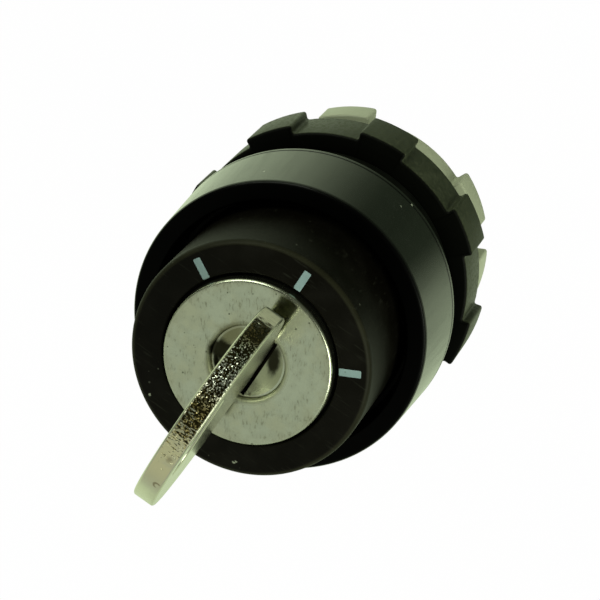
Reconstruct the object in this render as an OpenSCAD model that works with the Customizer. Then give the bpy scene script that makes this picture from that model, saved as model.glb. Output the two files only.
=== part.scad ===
// Key-operated selector switch head for a round panel hole. Millimetres.
// +Z is the switch axis and points out of the front, and +Y points to the middle mark.
// z = 0 is the rear face of the panel gasket, where the panel would sit.

/* [Barrel] */
// Crest diameter of the threaded barrel that passes the panel hole
barrel_d = 22; // [21.5:0.1:24]
// Length of the thread behind the panel seat
thread_l = 11.4; // [10:0.1:15]
// Length of the plain end of the barrel that carries the coupling ring
tail_l = 8.6; // [8:0.1:12]
// Step from the thread's crest down to the plain end of the barrel
tail_step = 0.6; // [0.5:0.05:0.8]
// Wall of the plain end of the barrel
tail_wall = 1.2; // [1.1:0.05:1.4]
// Width of the keyway along the thread
keyway_w = 3; // [2:0.1:4]
// Depth of the keyway
keyway_h = 0.8; // [0.4:0.1:1]

/* [Flange and gasket] */
// How far the body flange stands out beyond the raised collar
flange_step = 1.35; // [1.25:0.05:1.45]
// Height of the body flange
flange_h = 7.2; // [6.6:0.1:8]
// How far the panel gasket stands out beyond the flange
gasket_step = 0.2; // [0:0.05:0.5]
// Thickness of the panel gasket
gasket_h = 2.2; // [1.5:0.1:3]

/* [Bezel] */
// Width of the bezel's front face
bezel_face_w = 2; // [1.7:0.05:3]
// How much wider in radius the bezel is at its rear edge
bezel_draft = 0.45; // [0.2:0.05:1]
// Height of the bezel
bezel_h = 10.15; // [9.5:0.05:12]
// Height of the bezel's rear edge over the panel seat
bezel_lift = 6.35; // [5:0.05:6.8]
// Gap between the collar and the opening in the bezel's front face
mouth_gap = 1; // [0.85:0.05:1.1]
// Rounding of the bezel's front edges
bezel_edge = 0.45; // [0.1:0.05:0.6]

/* [Raised collar] */
// Diameter of the raised collar
collar_d = 24; // [23.6:0.1:24.4]
// Height of the collar's face over the bezel's face
collar_rise = 9.64; // [8:0.01:12]
// Rounding of the collar's front edge
collar_edge = 0.6; // [0.2:0.05:0.9]
// Gap between the lock head and the collar round it
hole_gap = 0.33; // [0.3:0.01:0.7]
// Thickness of the flange at the collar's foot
collar_foot_h = 2.4; // [2:0.1:3]

/* [Position marks] */
// Angle between two key positions
mark_step = 60; // [45:1:60]
// Length of a mark, as a share of the width of the collar's face
mark_share = 0.68; // [0.5:0.002:0.7]
// Width of a mark
mark_w = 0.78; // [0.4:0.02:1.2]
// Place of a mark's middle on the collar's face, from 0 at the hole to 1 at the rim
mark_place = 0.372; // [0.36:0.002:0.44]
// Depth of a mark's inlay in the collar
mark_h = 0.4; // [0.2:0.05:0.8]

/* [Lock] */
// Diameter of the lock head
head_d = 16.84; // [15.3:0.02:18.5]
// Thickness of the lock head
head_h = 3; // [2.2:0.1:3.5]
// Height of the lock head over the collar's face
head_rise = 0.9; // [0.8:0.01:1.8]
// Rounding of the lock head's rim
head_edge = 0.2; // [0.1:0.05:0.7]
// How far the dish in the lock head reaches beyond the key's blade
dish_rim = 0.9; // [0.85:0.05:1.2]
// Depth of the dish's wall
dish_h = 0.53; // [0.4:0.01:1.2]
// How far the key's tip reaches out behind the lock barrel
tip_reach = 0.5; // [0.2:0.05:0.5]
// How much narrower than the lock head the nut that clamps it is
lock_nut_step = 0.24; // [0.1:0.02:0.5]
// Wall of that nut at its flats, outside the lock barrel
lock_nut_wall = 1.4; // [1.2:0.05:1.6]
// Thickness of the nut that clamps the lock
lock_nut_h = 3; // [2:0.1:3.4]
// Diameter of the turning plug
plug_d = 9.2; // [9:0.1:10]
// Width of the lock's rim between the dish and the plug's nose
nose_rim = 0.35; // [0.3:0.05:0.5]
// Depth of the hollow in the front of the plug's nose
nose_bowl = 0.65; // [0.3:0.05:0.9]
// How far the mouth of the key slot stands clear of the blade's flats
slot_mouth = 0.35; // [0.1:0.05:0.5]
// Number of wafers in the plug
wafers_n = 6; // [3:1:6]
// Distance between two wafers
wafer_pitch = 2.5; // [2.4:0.05:2.6]
// Thickness of a wafer
wafer_h = 0.9; // [0.5:0.05:1]

/* [Key] */
// Thickness of the key
key_t = 2.2; // [1.8:0.05:2.3]
// Width of the key's blade
blade_w = 6.3; // [5.6:0.05:6.4]
// Length of the key's blade behind its shoulders
blade_l = 21; // [19:0.1:21.5]
// Diameter of the key's bow
bow_d = 21; // [18:0.1:24]
// Gap between the bow's edge and the lock head
bow_gap = 1.17; // [0.6:0.01:3]
// Chamfer along the edges of the bow
bow_edge = 0.25; // [0.1:0.05:0.5]
// Length of the ring hole in the bow
ring_hole_l = 8.6; // [4:0.1:10]
// Width of the ring hole in the bow
ring_hole_w = 3.2; // [2.5:0.1:4]
// Metal left between the ring hole and the bow's top
ring_hole_wall = 2.6; // [2:0.1:4]

/* [Fixing nut] */
// Diameter over the tabs of the fixing nut
nut_d = 32.24; // [31.6:0.02:35]
// Diameter between the tabs of the fixing nut
nut_root_d = 30.46; // [28:0.02:31]
// Height of the fixing nut
nut_h = 5.9; // [5:0.1:7]
// Number of tabs
tabs_n = 8; // [6:1:10]
// Angle that one tab covers
tab_span = 18.8; // [14:0.1:22]
// Angle of the first tab from the middle mark
nut_turn = 8.75; // [0:0.05:45]

/* [Coupling ring] */
// Diameter over the lugs of the coupling ring
ring_d = 28.2; // [27:0.1:30]
// Diameter between the lugs of the coupling ring
ring_root_d = 25.6; // [24.5:0.1:26.5]
// Height of the coupling ring
ring_h = 3.6; // [3:0.1:4.2]
// Number of lug places round the coupling ring
lug_places = 10; // [8:1:12]
// Angle that one lug covers
lug_span = 23; // [18:0.5:25]

/* [Cam and push rods] */
// Travel of a push rod between two key positions
stroke = 2.2; // [1.5:0.05:2.2]
// Distance of a push rod from the axis
rod_r = 6.2; // [6:0.05:6.3]
// Diameter of a push rod
rod_d = 3; // [2.4:0.1:3.2]
// Diameter of a push rod's head
rod_head_d = 4.4; // [4:0.1:4.6]
// Diameter of the cam
cam_d = 16.8; // [16.4:0.1:17]
// Thickness of the guide plate
plate_h = 3; // [2.8:0.1:3.4]
// Depth of the open socket behind the guide plate
socket_h = 5.4; // [4.5:0.1:5.6]
// Wire thickness of the push rod springs
spring_wire = 0.4; // [0.3:0.05:0.5]

/* [Hidden] */
$fn = 96;

// Clearances, from a running fit to a loose one
run = 0.05;
loose = 0.15;
gap = 0.3;
eps = 0.01;

// Heights and radii inside, that nothing outside depends on
nose_h = 1;
clamp_h = 3.9;
through = 20;
deck_clear = 1.5;
deck_h = 3;
ramp_h_min = 1.5;
clip_h = 0.6;
hub_r = 4.7;
cam_disc_h = 1.2;
cam_hub_h = 4.4;
tail_in_cam = 2.6;
wafer_w = 4.6;
tip_clear = 3.5;
slot_mouth_h = 1.6;

// Levels along the axis, from the panel seat forward
bezel_top = bezel_lift + bezel_h;
flange_top = gasket_h + flange_h;
foot_top = flange_top + collar_foot_h;
collar_top = bezel_top + collar_rise;
head_top = collar_top + head_rise;
head_foot = head_top - head_h;
nose_top = head_top - dish_h;
plug_shoulder = nose_top - nose_h;
lock_foot = nose_top - blade_l + tip_reach;
lock_nut_top = foot_top + clamp_h;
lock_nut_foot = lock_nut_top - lock_nut_h;

// Levels along the axis, from the panel seat to the rear
thread_foot = -thread_l;
tail_foot = thread_foot - tail_l;
ring_top = thread_foot - loose;
ring_foot = ring_top - ring_h;
deck_top = lock_foot - deck_clear;
deck_foot = deck_top - deck_h;
cam_top = deck_foot - gap;
ramp_mid = cam_top - ramp_h_min - stroke;
plate_foot = tail_foot + socket_h + clip_h;
plate_top = plate_foot + plate_h;

// Radii that several pieces share
collar_r = collar_d / 2;
flange_r = collar_r + flange_step;
bezel_bore_r = flange_r + loose;
mouth_r = collar_r + mouth_gap;
bezel_r = mouth_r + bezel_face_w;
barrel_r = barrel_d / 2;
tail_rim = barrel_r - tail_step;
bore_r = tail_rim - tail_wall;
ledge_r = cam_d / 2 + gap;
lock_nut_w = head_d - lock_nut_step;
lock_r = lock_nut_w / 2 - lock_nut_wall;
cavity_r = lock_nut_w / sqrt(3) + 0.7;
hub_hole_r = hub_r + 0.08;
plug_r = plug_d / 2;
dish_r = blade_w / 2 + dish_rim;
nose_r = dish_r - nose_rim;
dish_wall_r = nose_r + run;
head_r = head_d / 2;
hole_r = head_r + hole_gap;
face_w = collar_r - hole_r;
mark_l = mark_share * face_w;
mark_r = hole_r + mark_place * face_w;
seal_groove_r = (cavity_r + flange_r) / 2;

// Sizes of the small clips, seals and screws
clip_r = plug_r + 0.7;
plate_clip_w = 1.4;
ring_clip_wire = 0.7;
ring_clip_mouth = 3;
seal_wire = 1.1;
lock_seal_r = lock_r + 0.55 * (head_r - lock_r);
screw_r = 1.5;
screw_head_r = 2.75;
screw_head_h = 1.9;
screw_l = 6.5;
washer_h = 0.5;

// Plug tail that drives the cam, and the cam's disc and lower hub
tail_r = 2.9;
tail_flats = 4.4;
tail_end = cam_top - tail_in_cam;
clip_groove_r = tail_flats / 2;
cam_foot = cam_top - cam_hub_h;
low_hub_r = rod_r - rod_head_d / 2 - 0.2;

// Key slot and wafer windows
slot_half = blade_w / 2 + 0.1;
slot_t = key_t + 0.1;
shoulder_half = slot_half + 0.2;
bowl_r = (shoulder_half * shoulder_half + nose_bowl * nose_bowl) / (2 * nose_bowl);
wafer_slot_h = wafer_h + 0.1;
wafer_first = nose_top - blade_l + tip_clear;

// Ear of a wafer, the pocket beside the slot, and the spring in it
ear_reach = 3.5;
ear_w = 1;
ear_y = 1.3;
pocket_w = 1.3;
pocket_foot = -1.6;
pocket_l = 4;
wafer_spring_r = 0.4;
wafer_spring_wire = 0.16;
wafer_spring_l = ear_y - pocket_foot - 0.15;

// Push rods and their springs
rod_head_h = 1;
dome_r = 2.6;
rod_crown = ramp_mid - gap;
rod_head_foot = rod_crown - (dome_r - sqrt(dome_r * dome_r - rod_head_d * rod_head_d / 4)) - rod_head_h;
rod_foot = plate_foot - 0.5;
spring_r = rod_d / 2 + 0.25 + spring_wire / 2;

// Removes the corner of a profile, so that a rounding of radius r is left there
module round_off(x, y, r, sx, sy) {
    translate([x - sx * r, y - sy * r])
        difference() {
            translate([sx > 0 ? 0 : -r - eps, sy > 0 ? 0 : -r - eps])
                square(r + eps);
            circle(r);
        }
}

// A round closed ring of wire
module wire_ring(r, wire) {
    rotate_extrude()
        translate([r, 0])
            circle(d = wire, $fn = 24);
}

// A slice of a disc between two angles, wide enough to cut with
module sector(r, span) {
    polygon([[0, 0], for (a = [-span / 2 : span / 8 : span / 2 + eps]) r * [cos(a), sin(a)]]);
}

// A helical spring with its axis on Z and its foot at z = 0
module coil(r, wire, turns, length, sides = 6, steps = 16) {
    n = round(turns * steps);
    rise = length - wire;
    points = [for (i = [0 : n], j = [0 : sides - 1])
        let (a = 360 * turns * i / n, b = 360 * j / sides, q = r + wire / 2 * cos(b))
            [q * cos(a), q * sin(a), wire / 2 + rise * i / n + wire / 2 * sin(b)]];
    tube = [for (i = [0 : n - 1], j = [0 : sides - 1])
        let (k = (j + 1) % sides, p = i * sides, q = p + sides)
            each [[p + j, p + k, q + k], [p + j, q + k, q + j]]];
    foot = [[for (j = [0 : sides - 1]) sides - 1 - j]];
    top = [[for (j = [0 : sides - 1]) n * sides + j]];
    polyhedron(points, concat(tube, foot, top));
}

// One ramp of the cam: its underside falls by the stroke over each key step
module ramp(direction) {
    n = 16;
    r0 = low_hub_r - 0.3;
    r1 = cam_d / 2 - 0.1;
    reach = mark_step + 16;
    top = cam_top - cam_disc_h / 2;
    points = [for (i = [0 : n])
        let (a = -reach + 2 * reach * i / n,
             z = ramp_mid + direction * stroke * max(-1.1, min(1.1, a / mark_step)))
            each [[r0 * cos(a), r0 * sin(a), top], [r1 * cos(a), r1 * sin(a), top],
                  [r1 * cos(a), r1 * sin(a), z], [r0 * cos(a), r0 * sin(a), z]]];
    sides = [for (i = [0 : n - 1], j = [0 : 3])
        let (k = (j + 1) % 4, p = 4 * i, q = p + 4)
            each [[p + j, q + k, p + k], [p + j, q + j, q + k]]];
    polyhedron(points, concat(sides, [[0, 1, 2, 3]], [[4 * n + 3, 4 * n + 2, 4 * n + 1, 4 * n]]));
}

// Front ring with a drafted outside wall and a lip that holds the collar's foot
module bezel() {
    lip_r = (collar_r + mouth_r) / 2 + 0.1;
    rear_r = bezel_r + bezel_draft;
    color("#26302b")
        rotate_extrude()
            difference() {
                polygon([[mouth_r, bezel_top], [bezel_r, bezel_top], [rear_r, bezel_lift],
                         [bezel_bore_r, bezel_lift], [bezel_bore_r, foot_top], [lip_r, foot_top],
                         [lip_r, foot_top + 1.2], [mouth_r, foot_top + 1.6]]);
                round_off(bezel_r + 0.02, bezel_top, bezel_edge, 1, 1);
                round_off(mouth_r, bezel_top, bezel_edge / 2, -1, 1);
                translate([rear_r - 0.2, bezel_lift + 0.55])
                    square([1, 0.25]);
            }
}

// Raised black collar that holds the lock, with a recess for each position mark
module front_collar() {
    color("#1b1a17")
        difference() {
            rotate_extrude()
                difference() {
                    polygon([[hole_r, collar_top], [collar_r, collar_top], [collar_r, foot_top],
                             [flange_r, foot_top], [flange_r, flange_top], [cavity_r, flange_top], [cavity_r, lock_nut_top],
                             [lock_r + run, lock_nut_top], [lock_r + run, head_foot],
                             [hole_r, head_foot]]);
                    round_off(collar_r, collar_top, collar_edge, 1, 1);
                    round_off(hole_r, collar_top, 0.15, -1, 1);
                    translate([lock_seal_r, head_foot])
                        circle(d = seal_wire, $fn = 24);
                }
            mark_places()
                mark(mark_h + 1);
            translate([0, 0, flange_top])
                wire_ring(seal_groove_r, seal_wire);
        }
}

module mark_places() {
    for (a = [-mark_step, 0, mark_step])
        rotate([0, 0, -a])
            translate([0, mark_r, collar_top - mark_h])
                children();
}

// A bar with rounded corners, standing on its own plane
module mark(h) {
    corner = mark_w * 0.18;
    linear_extrude(h)
        union() {
            square([mark_w, mark_l - 2 * corner], center = true);
            square([mark_w - 2 * corner, mark_l], center = true);
            for (x = [-1, 1], y = [-1, 1])
                translate([x * (mark_w / 2 - corner), y * (mark_l / 2 - corner)])
                    circle(corner, $fn = 24);
        }
}

module position_marks() {
    color("#b9c6cf")
        mark_places()
            mark(mark_h);
}

// Flange, deck and threaded barrel in one moulding
module body() {
    groove_z = ring_foot - loose;
    color("#20241f")
        difference() {
            rotate_extrude()
                difference() {
                    polygon([[flange_r, flange_top], [flange_r, gasket_h], [barrel_r, gasket_h],
                             [barrel_r, thread_foot + 0.6], [barrel_r - 0.6, thread_foot], [tail_rim, thread_foot],
                             [tail_rim, tail_foot + 0.4], [tail_rim - 0.4, tail_foot], [bore_r, tail_foot],
                             [bore_r, plate_top], [ledge_r, plate_top], [ledge_r, deck_foot],
                             [hub_hole_r, deck_foot], [hub_hole_r, deck_top], [cavity_r, deck_top],
                             [cavity_r, flange_top]]);
                    translate([tail_rim, groove_z - ring_clip_wire / 2])
                        circle(d = ring_clip_wire, $fn = 24);
                    translate([bore_r - eps, plate_foot - clip_h])
                        square([plate_clip_w / 2 - run, clip_h]);
                }
            translate([-keyway_w / 2, barrel_r - keyway_h, thread_foot - eps])
                cube([keyway_w, keyway_h + 1, gasket_h + thread_l - 0.2]);
            translate([0, 0, flange_top])
                wire_ring(seal_groove_r, seal_wire);
        }
}

// Flat rubber ring against the panel, with a groove in its rear face
module panel_gasket() {
    r = flange_r + gasket_step;
    color("#2d352f")
        rotate_extrude()
            difference() {
                translate([barrel_r + run, 0])
                    square([r - barrel_r - run, gasket_h]);
                round_off(r, 0, 0.35, 1, -1);
                translate([(r + barrel_r) / 2, 0])
                    circle(0.4, $fn = 24);
            }
}

module collar_seal() {
    color("#3a3a3a")
        translate([0, 0, flange_top])
            wire_ring(seal_groove_r, seal_wire);
}

// Turned lock shell: wide head with a dished centre, and a long barrel
module lock_housing() {
    groove_w = wafer_w + 0.4;
    color("#b5b5a8")
        difference() {
            rotate_extrude()
                difference() {
                    polygon([[dish_wall_r, head_top], [head_r, head_top], [head_r, head_foot], [lock_r, head_foot],
                             [lock_r, lock_foot + 0.5], [lock_r - 0.5, lock_foot], [plug_r + run, lock_foot],
                             [plug_r + run, plug_shoulder + run], [dish_wall_r, plug_shoulder + run]]);
                    round_off(head_r, head_top, head_edge, 1, 1);
                    round_off(dish_wall_r, head_top, dish_r - dish_wall_r, -1, 1);
                    translate([lock_seal_r, head_foot])
                        circle(d = seal_wire, $fn = 24);
                }
            translate([-groove_w / 2, -plug_r - 1.1, lock_foot - eps])
                cube([groove_w, 2 * plug_r + 2.2, plug_shoulder - lock_foot - 1.5]);
        }
}

module lock_seal() {
    color("#333333")
        translate([0, 0, head_foot])
            wire_ring(lock_seal_r, seal_wire);
}

// Thin hexagon nut on the lock barrel
module lock_nut() {
    color("#c3b06a")
        translate([0, 0, lock_nut_foot])
            difference() {
                cylinder(h = lock_nut_h, d = lock_nut_w / cos(30), $fn = 6);
                translate([0, 0, -through / 2])
                    cylinder(h = through, r = lock_r + run);
            }
}

// Turning plug with its key slot, wafer slots and flatted tail
module lock_plug() {
    color("#c9b26b")
        difference() {
            union() {
                rotate_extrude()
                    difference() {
                        polygon([[0, nose_top], [nose_r, nose_top], [nose_r, plug_shoulder], [plug_r, plug_shoulder],
                                 [plug_r, lock_foot], [0, lock_foot]]);
                        round_off(nose_r, nose_top, 0.06, 1, 1);
                        translate([0, nose_top - nose_bowl + bowl_r])
                            circle(bowl_r, $fn = 360);
                    }
                translate([0, 0, tail_end])
                    linear_extrude(lock_foot - tail_end + eps)
                        intersection() {
                            circle(tail_r);
                            square([tail_flats, 4 * tail_r], center = true);
                        }
            }
            translate([-slot_t / 2, -slot_half, nose_top - blade_l - gap])
                cube([slot_t, 2 * slot_half, blade_l + 1]);
            translate([-key_t / 2 - slot_mouth, -slot_half, nose_top - nose_bowl - slot_mouth_h])
                cube([key_t + 2 * slot_mouth, 2 * slot_half, slot_mouth_h + 1]);
            for (i = [0 : wafers_n - 1])
                translate([0, 0, wafer_first + i * wafer_pitch]) {
                    translate([-wafer_w / 2 - run, -plug_r, -wafer_slot_h / 2])
                        cube([wafer_w + 2 * run, 2 * plug_r, wafer_slot_h]);
                    translate([wafer_w / 2 - eps, pocket_foot, -pocket_w / 2])
                        cube([ear_reach - wafer_w / 2 + 0.1, pocket_l, pocket_w]);
                }
            translate([0, 0, tail_end - eps])
                cylinder(h = screw_l - 0.5, r = screw_r, $fn = 32);
            translate([0, 0, lock_foot - gap - clip_h])
                rotate_extrude()
                    translate([clip_groove_r, 0])
                        square([tail_r, clip_h]);
        }
}

// Sprung plates, each with a window for the blade and an ear for its spring
module wafers() {
    color("#a8883c")
        for (i = [0 : wafers_n - 1])
            translate([0, 0, wafer_first + i * wafer_pitch - wafer_h / 2])
                linear_extrude(wafer_h)
                    difference() {
                        union() {
                            intersection() {
                                square([wafer_w, 2 * plug_r], center = true);
                                circle(plug_r - run);
                            }
                            translate([0, ear_y])
                                square([ear_reach, ear_w]);
                        }
                        square([slot_t, 2 * slot_half], center = true);
                    }
}

module wafer_springs() {
    color("#999999")
        for (i = [0 : wafers_n - 1])
            translate([ear_reach - wafer_spring_r - loose, ear_y - run, wafer_first + i * wafer_pitch])
                rotate([90, 0, 0])
                    coil(wafer_spring_r, wafer_spring_wire, 4, wafer_spring_l, sides = 5, steps = 12);
}

// Open clip behind the lock barrel that keeps the plug in
module plug_clip() {
    color("#8a8a84")
        translate([0, 0, lock_foot - gap - clip_h + run])
            linear_extrude(clip_h - 2 * run)
                difference() {
                    circle(clip_r);
                    circle(clip_groove_r + run);
                    translate([-clip_groove_r * 0.8, 0])
                        square([clip_groove_r * 1.6, clip_r + 1]);
                }
}

// Flat key: round bow with a ring hole, shoulders, and a blade cut for the wafers
module key() {
    bow_r = bow_d / 2;
    bow_z = head_top + bow_gap + bow_r;
    shoulder_z = nose_top + run;
    hole_z = bow_z + bow_r - ring_hole_wall - ring_hole_w / 2;
    tip_z = nose_top - blade_l;
    half = blade_w / 2;
    color("#bdb9a6")
        difference() {
            union() {
                translate([0, 0, bow_z])
                    rotate([0, 90, 0])
                        rotate_extrude()
                            polygon([[0, -key_t / 2], [bow_r - bow_edge, -key_t / 2], [bow_r, bow_edge - key_t / 2],
                                     [bow_r, key_t / 2 - bow_edge], [bow_r - bow_edge, key_t / 2],
                                     [0, key_t / 2]]);
                rotate([90, 0, 90])
                    translate([0, 0, -key_t / 2])
                        linear_extrude(key_t)
                            polygon([[-half + 1.8, tip_z], [half - 1.8, tip_z], [half, tip_z + 2],
                                     [half, shoulder_z], [shoulder_half, shoulder_z],
                                     [shoulder_half, shoulder_z + 1.6], [shoulder_half + 2.6, shoulder_z + 4.6],
                                     [-shoulder_half - 2.6, shoulder_z + 4.6], [-shoulder_half, shoulder_z + 1.6],
                                     [-shoulder_half, shoulder_z], [-half, shoulder_z], [-half, tip_z + 2]]);
            }
            rotate([90, 0, 90])
                translate([0, 0, -key_t])
                    linear_extrude(2 * key_t) {
                        translate([0, hole_z])
                            square([ring_hole_l - ring_hole_w, ring_hole_w], center = true);
                        for (y = [-1, 1])
                            translate([y * (ring_hole_l - ring_hole_w) / 2, hole_z])
                                circle(d = ring_hole_w, $fn = 32);
                    }
            for (i = [0 : wafers_n - 1], y = [-1, 1])
                translate([-key_t, y * (half + 0.35 - 0.15 * ((i * 2 + y) % 3)), wafer_first + i * wafer_pitch])
                    rotate([0, 90, 0])
                        cylinder(h = 2 * key_t, r = 0.85, $fn = 24);
            for (x = [-1, 1])
                translate([x * key_t / 2 - 0.3, -0.6, tip_z - 1])
                    cube([0.6, 1.2, blade_l - 1]);
        }
}

// Rotor under the deck, with a hub for the plug's tail and two opposite ramps
module cam() {
    color("#d8d4c0")
        difference() {
            union() {
                translate([0, 0, cam_top - cam_disc_h])
                    cylinder(h = cam_disc_h, d = cam_d);
                translate([0, 0, cam_top - cam_disc_h])
                    cylinder(h = deck_top - gap - cam_top + cam_disc_h, r = hub_r);
                translate([0, 0, cam_foot])
                    cylinder(h = cam_top - cam_foot, r = low_hub_r);
                ramp(1);
                rotate([0, 0, 180])
                    ramp(-1);
            }
            translate([0, 0, tail_end - 0.1])
                linear_extrude(through)
                    intersection() {
                        circle(tail_r + run);
                        square([tail_flats + 2 * run, 4 * tail_r], center = true);
                    }
            translate([0, 0, cam_top - through / 2])
                cylinder(h = through, r = screw_r + 0.1, $fn = 32);
        }
}

module cam_washer() {
    color("#c0c0bc")
        translate([0, 0, cam_foot - washer_h])
            difference() {
                cylinder(h = washer_h, r = low_hub_r - 0.4);
                translate([0, 0, -1])
                    cylinder(h = washer_h + 2, r = screw_r + 0.15, $fn = 32);
            }
}

// Cross-slotted screw that holds the cam on the plug's tail
module cam_screw() {
    seat = cam_foot - washer_h;
    color("#c0c0bc")
        difference() {
            union() {
                translate([0, 0, seat])
                    cylinder(h = screw_l, r = screw_r - run, $fn = 32);
                translate([0, 0, seat])
                    rotate_extrude()
                        difference() {
                            translate([0, -screw_head_h])
                                square([screw_head_r, screw_head_h]);
                            round_off(screw_head_r, -screw_head_h, 0.7, 1, -1);
                        }
            }
            for (a = [0, 90])
                rotate([0, 0, a])
                    translate([-1.6, -0.3, seat - screw_head_h - 1])
                        cube([3.2, 0.6, 1.9]);
        }
}

// Domed head under a cam ramp, and a stem through the guide plate
module push_rod(side) {
    color("#ded9c6")
        translate([side * rod_r, 0, 0]) {
            intersection() {
                translate([0, 0, rod_crown - dome_r])
                    sphere(dome_r, $fn = 48);
                translate([0, 0, rod_head_foot + rod_head_h - eps])
                    cylinder(h = dome_r, r = rod_head_d / 2);
            }
            translate([0, 0, rod_head_foot])
                cylinder(h = rod_head_h, r = rod_head_d / 2);
            translate([0, 0, rod_foot])
                cylinder(h = rod_head_foot - rod_foot + eps, r = rod_d / 2);
        }
}

module push_rod_left() {
    push_rod(-1);
}

module push_rod_right() {
    push_rod(1);
}

module rod_spring(side) {
    color("#a9a9a4")
        translate([side * rod_r, 0, plate_top])
            coil(spring_r, spring_wire, 5, rod_head_foot - plate_top - run);
}

module rod_spring_left() {
    rod_spring(-1);
}

module rod_spring_right() {
    rod_spring(1);
}

// Round plate in the rear of the barrel that guides both push rods
module guide_plate() {
    color("#d5d0bb")
        difference() {
            translate([0, 0, plate_foot])
                cylinder(h = plate_h, r = bore_r - run);
            for (x = [-rod_r, rod_r])
                translate([x, 0, plate_foot - 1])
                    cylinder(h = plate_h + 2, r = rod_d / 2 + run, $fn = 48);
            translate([0, 0, plate_foot - 1])
                cylinder(h = plate_h + 2, r = screw_head_r + 0.4);
        }
}

// Open spring clip in the bore that keeps the guide plate in
module plate_clip() {
    color("#8a8a84")
        translate([0, 0, plate_foot - clip_h + run])
            linear_extrude(clip_h - 2 * run)
                difference() {
                    circle(bore_r + plate_clip_w / 2 - 4 * run);
                    circle(bore_r - plate_clip_w / 2);
                    translate([-2, 0])
                        square([4, bore_r + 1]);
                }
}

// Ring nut with tabs for a spanner
module fixing_nut() {
    foot = -gap - nut_h;
    r = nut_d / 2;
    color("#33352f")
        difference() {
            rotate_extrude()
                polygon([[barrel_r + run, foot + 0.4], [barrel_r + 0.5, foot], [r - 0.25, foot], [r, foot + 0.25],
                         [r, -gap - 0.25], [r - 0.25, -gap], [barrel_r + 0.5, -gap], [barrel_r + run, -gap - 0.4]]);
            for (k = [0 : tabs_n - 1])
                rotate([0, 0, 90 + nut_turn + (k + 0.5) * 360 / tabs_n])
                    tab_gap(nut_root_d / 2, r, 360 / tabs_n - tab_span, foot - 1, nut_h + 2);
        }
}

// The space between two tabs or lugs, cut down to the root radius
module tab_gap(root, outer, span, foot, h) {
    translate([0, 0, foot])
        linear_extrude(h)
            difference() {
                sector(outer * 1.3, span);
                circle(root);
            }
}

// Lugged ring that turns on the plain end of the barrel
module coupling_ring() {
    r = ring_d / 2;
    bore = tail_rim + run;
    pitch = 360 / lug_places;
    color("#cfd3bd")
        difference() {
            rotate_extrude()
                polygon([[bore, ring_foot], [r - 0.3, ring_foot], [r, ring_foot + 0.3], [r, ring_top - 0.3],
                         [r - 0.3, ring_top], [bore, ring_top]]);
            for (k = [0 : lug_places - 1])
                rotate([0, 0, 90 + (k + 0.5) * pitch])
                    tab_gap(ring_root_d / 2, r, pitch - lug_span, ring_foot - 1, ring_h + 2);
            rotate([0, 0, 90])
                tab_gap(ring_root_d / 2, r, pitch, ring_foot - 1, ring_h + 2);
        }
}

module ring_clip() {
    color("#8a8a84")
        translate([0, 0, ring_foot - loose - ring_clip_wire / 2])
            difference() {
                wire_ring(tail_rim, ring_clip_wire - 0.02);
                translate([-ring_clip_mouth / 2, 0, -ring_clip_wire])
                    cube([ring_clip_mouth, 2 * tail_rim, 2 * ring_clip_wire]);
            }
}

bezel();
front_collar();
position_marks();
body();
panel_gasket();
collar_seal();
lock_housing();
lock_seal();
lock_nut();
lock_plug();
wafers();
wafer_springs();
plug_clip();
key();
cam();
cam_washer();
cam_screw();
push_rod_left();
push_rod_right();
rod_spring_left();
rod_spring_right();
guide_plate();
plate_clip();
fixing_nut();
coupling_ring();
ring_clip();
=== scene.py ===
"""Key-operated selector switch head: detailed pieces, materials and stage, laid out as an add-on."""

import math

import bpy
import numpy as np
from mathutils import Matrix, Vector
from mathutils.geometry import tessellate_polygon


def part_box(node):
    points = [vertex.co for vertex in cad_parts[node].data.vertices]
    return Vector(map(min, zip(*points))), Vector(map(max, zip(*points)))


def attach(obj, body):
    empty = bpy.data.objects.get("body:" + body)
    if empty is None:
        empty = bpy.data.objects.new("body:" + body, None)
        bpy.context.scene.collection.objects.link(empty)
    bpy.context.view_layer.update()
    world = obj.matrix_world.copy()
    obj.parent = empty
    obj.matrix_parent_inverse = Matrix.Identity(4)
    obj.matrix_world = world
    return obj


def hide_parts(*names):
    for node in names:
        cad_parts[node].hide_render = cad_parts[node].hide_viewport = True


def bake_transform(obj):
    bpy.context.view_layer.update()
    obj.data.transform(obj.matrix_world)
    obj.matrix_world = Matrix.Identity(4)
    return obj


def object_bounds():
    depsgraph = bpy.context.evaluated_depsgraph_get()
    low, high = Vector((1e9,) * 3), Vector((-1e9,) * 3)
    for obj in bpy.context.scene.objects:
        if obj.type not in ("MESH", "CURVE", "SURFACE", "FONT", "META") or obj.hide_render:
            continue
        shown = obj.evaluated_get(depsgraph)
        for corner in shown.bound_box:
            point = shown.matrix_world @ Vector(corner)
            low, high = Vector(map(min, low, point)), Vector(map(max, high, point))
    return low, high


bl_info = {
    "name": "Key switch dresser",
    "version": (1, 0, 0),
    "blender": (4, 5, 0),
    "location": "3D View > Sidebar > Key switch",
    "description": "Builds the visible pieces, materials and stage of a key switch over its CAD frame",
    "category": "Object",
}

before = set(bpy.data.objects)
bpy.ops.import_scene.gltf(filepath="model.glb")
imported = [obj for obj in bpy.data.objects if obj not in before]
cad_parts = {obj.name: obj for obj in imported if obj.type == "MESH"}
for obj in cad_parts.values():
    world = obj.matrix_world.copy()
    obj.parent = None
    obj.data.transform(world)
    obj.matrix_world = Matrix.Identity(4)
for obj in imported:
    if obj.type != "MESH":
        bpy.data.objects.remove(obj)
CAD_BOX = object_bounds()
MM = 0.001
DEGREES = 180.0 / math.pi
WHITE = (1.0, 1.0, 1.0, 1.0)

# Edges between faces that meet at a larger angle than this are shaded sharp
SHARP = math.radians(42.0)

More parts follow.
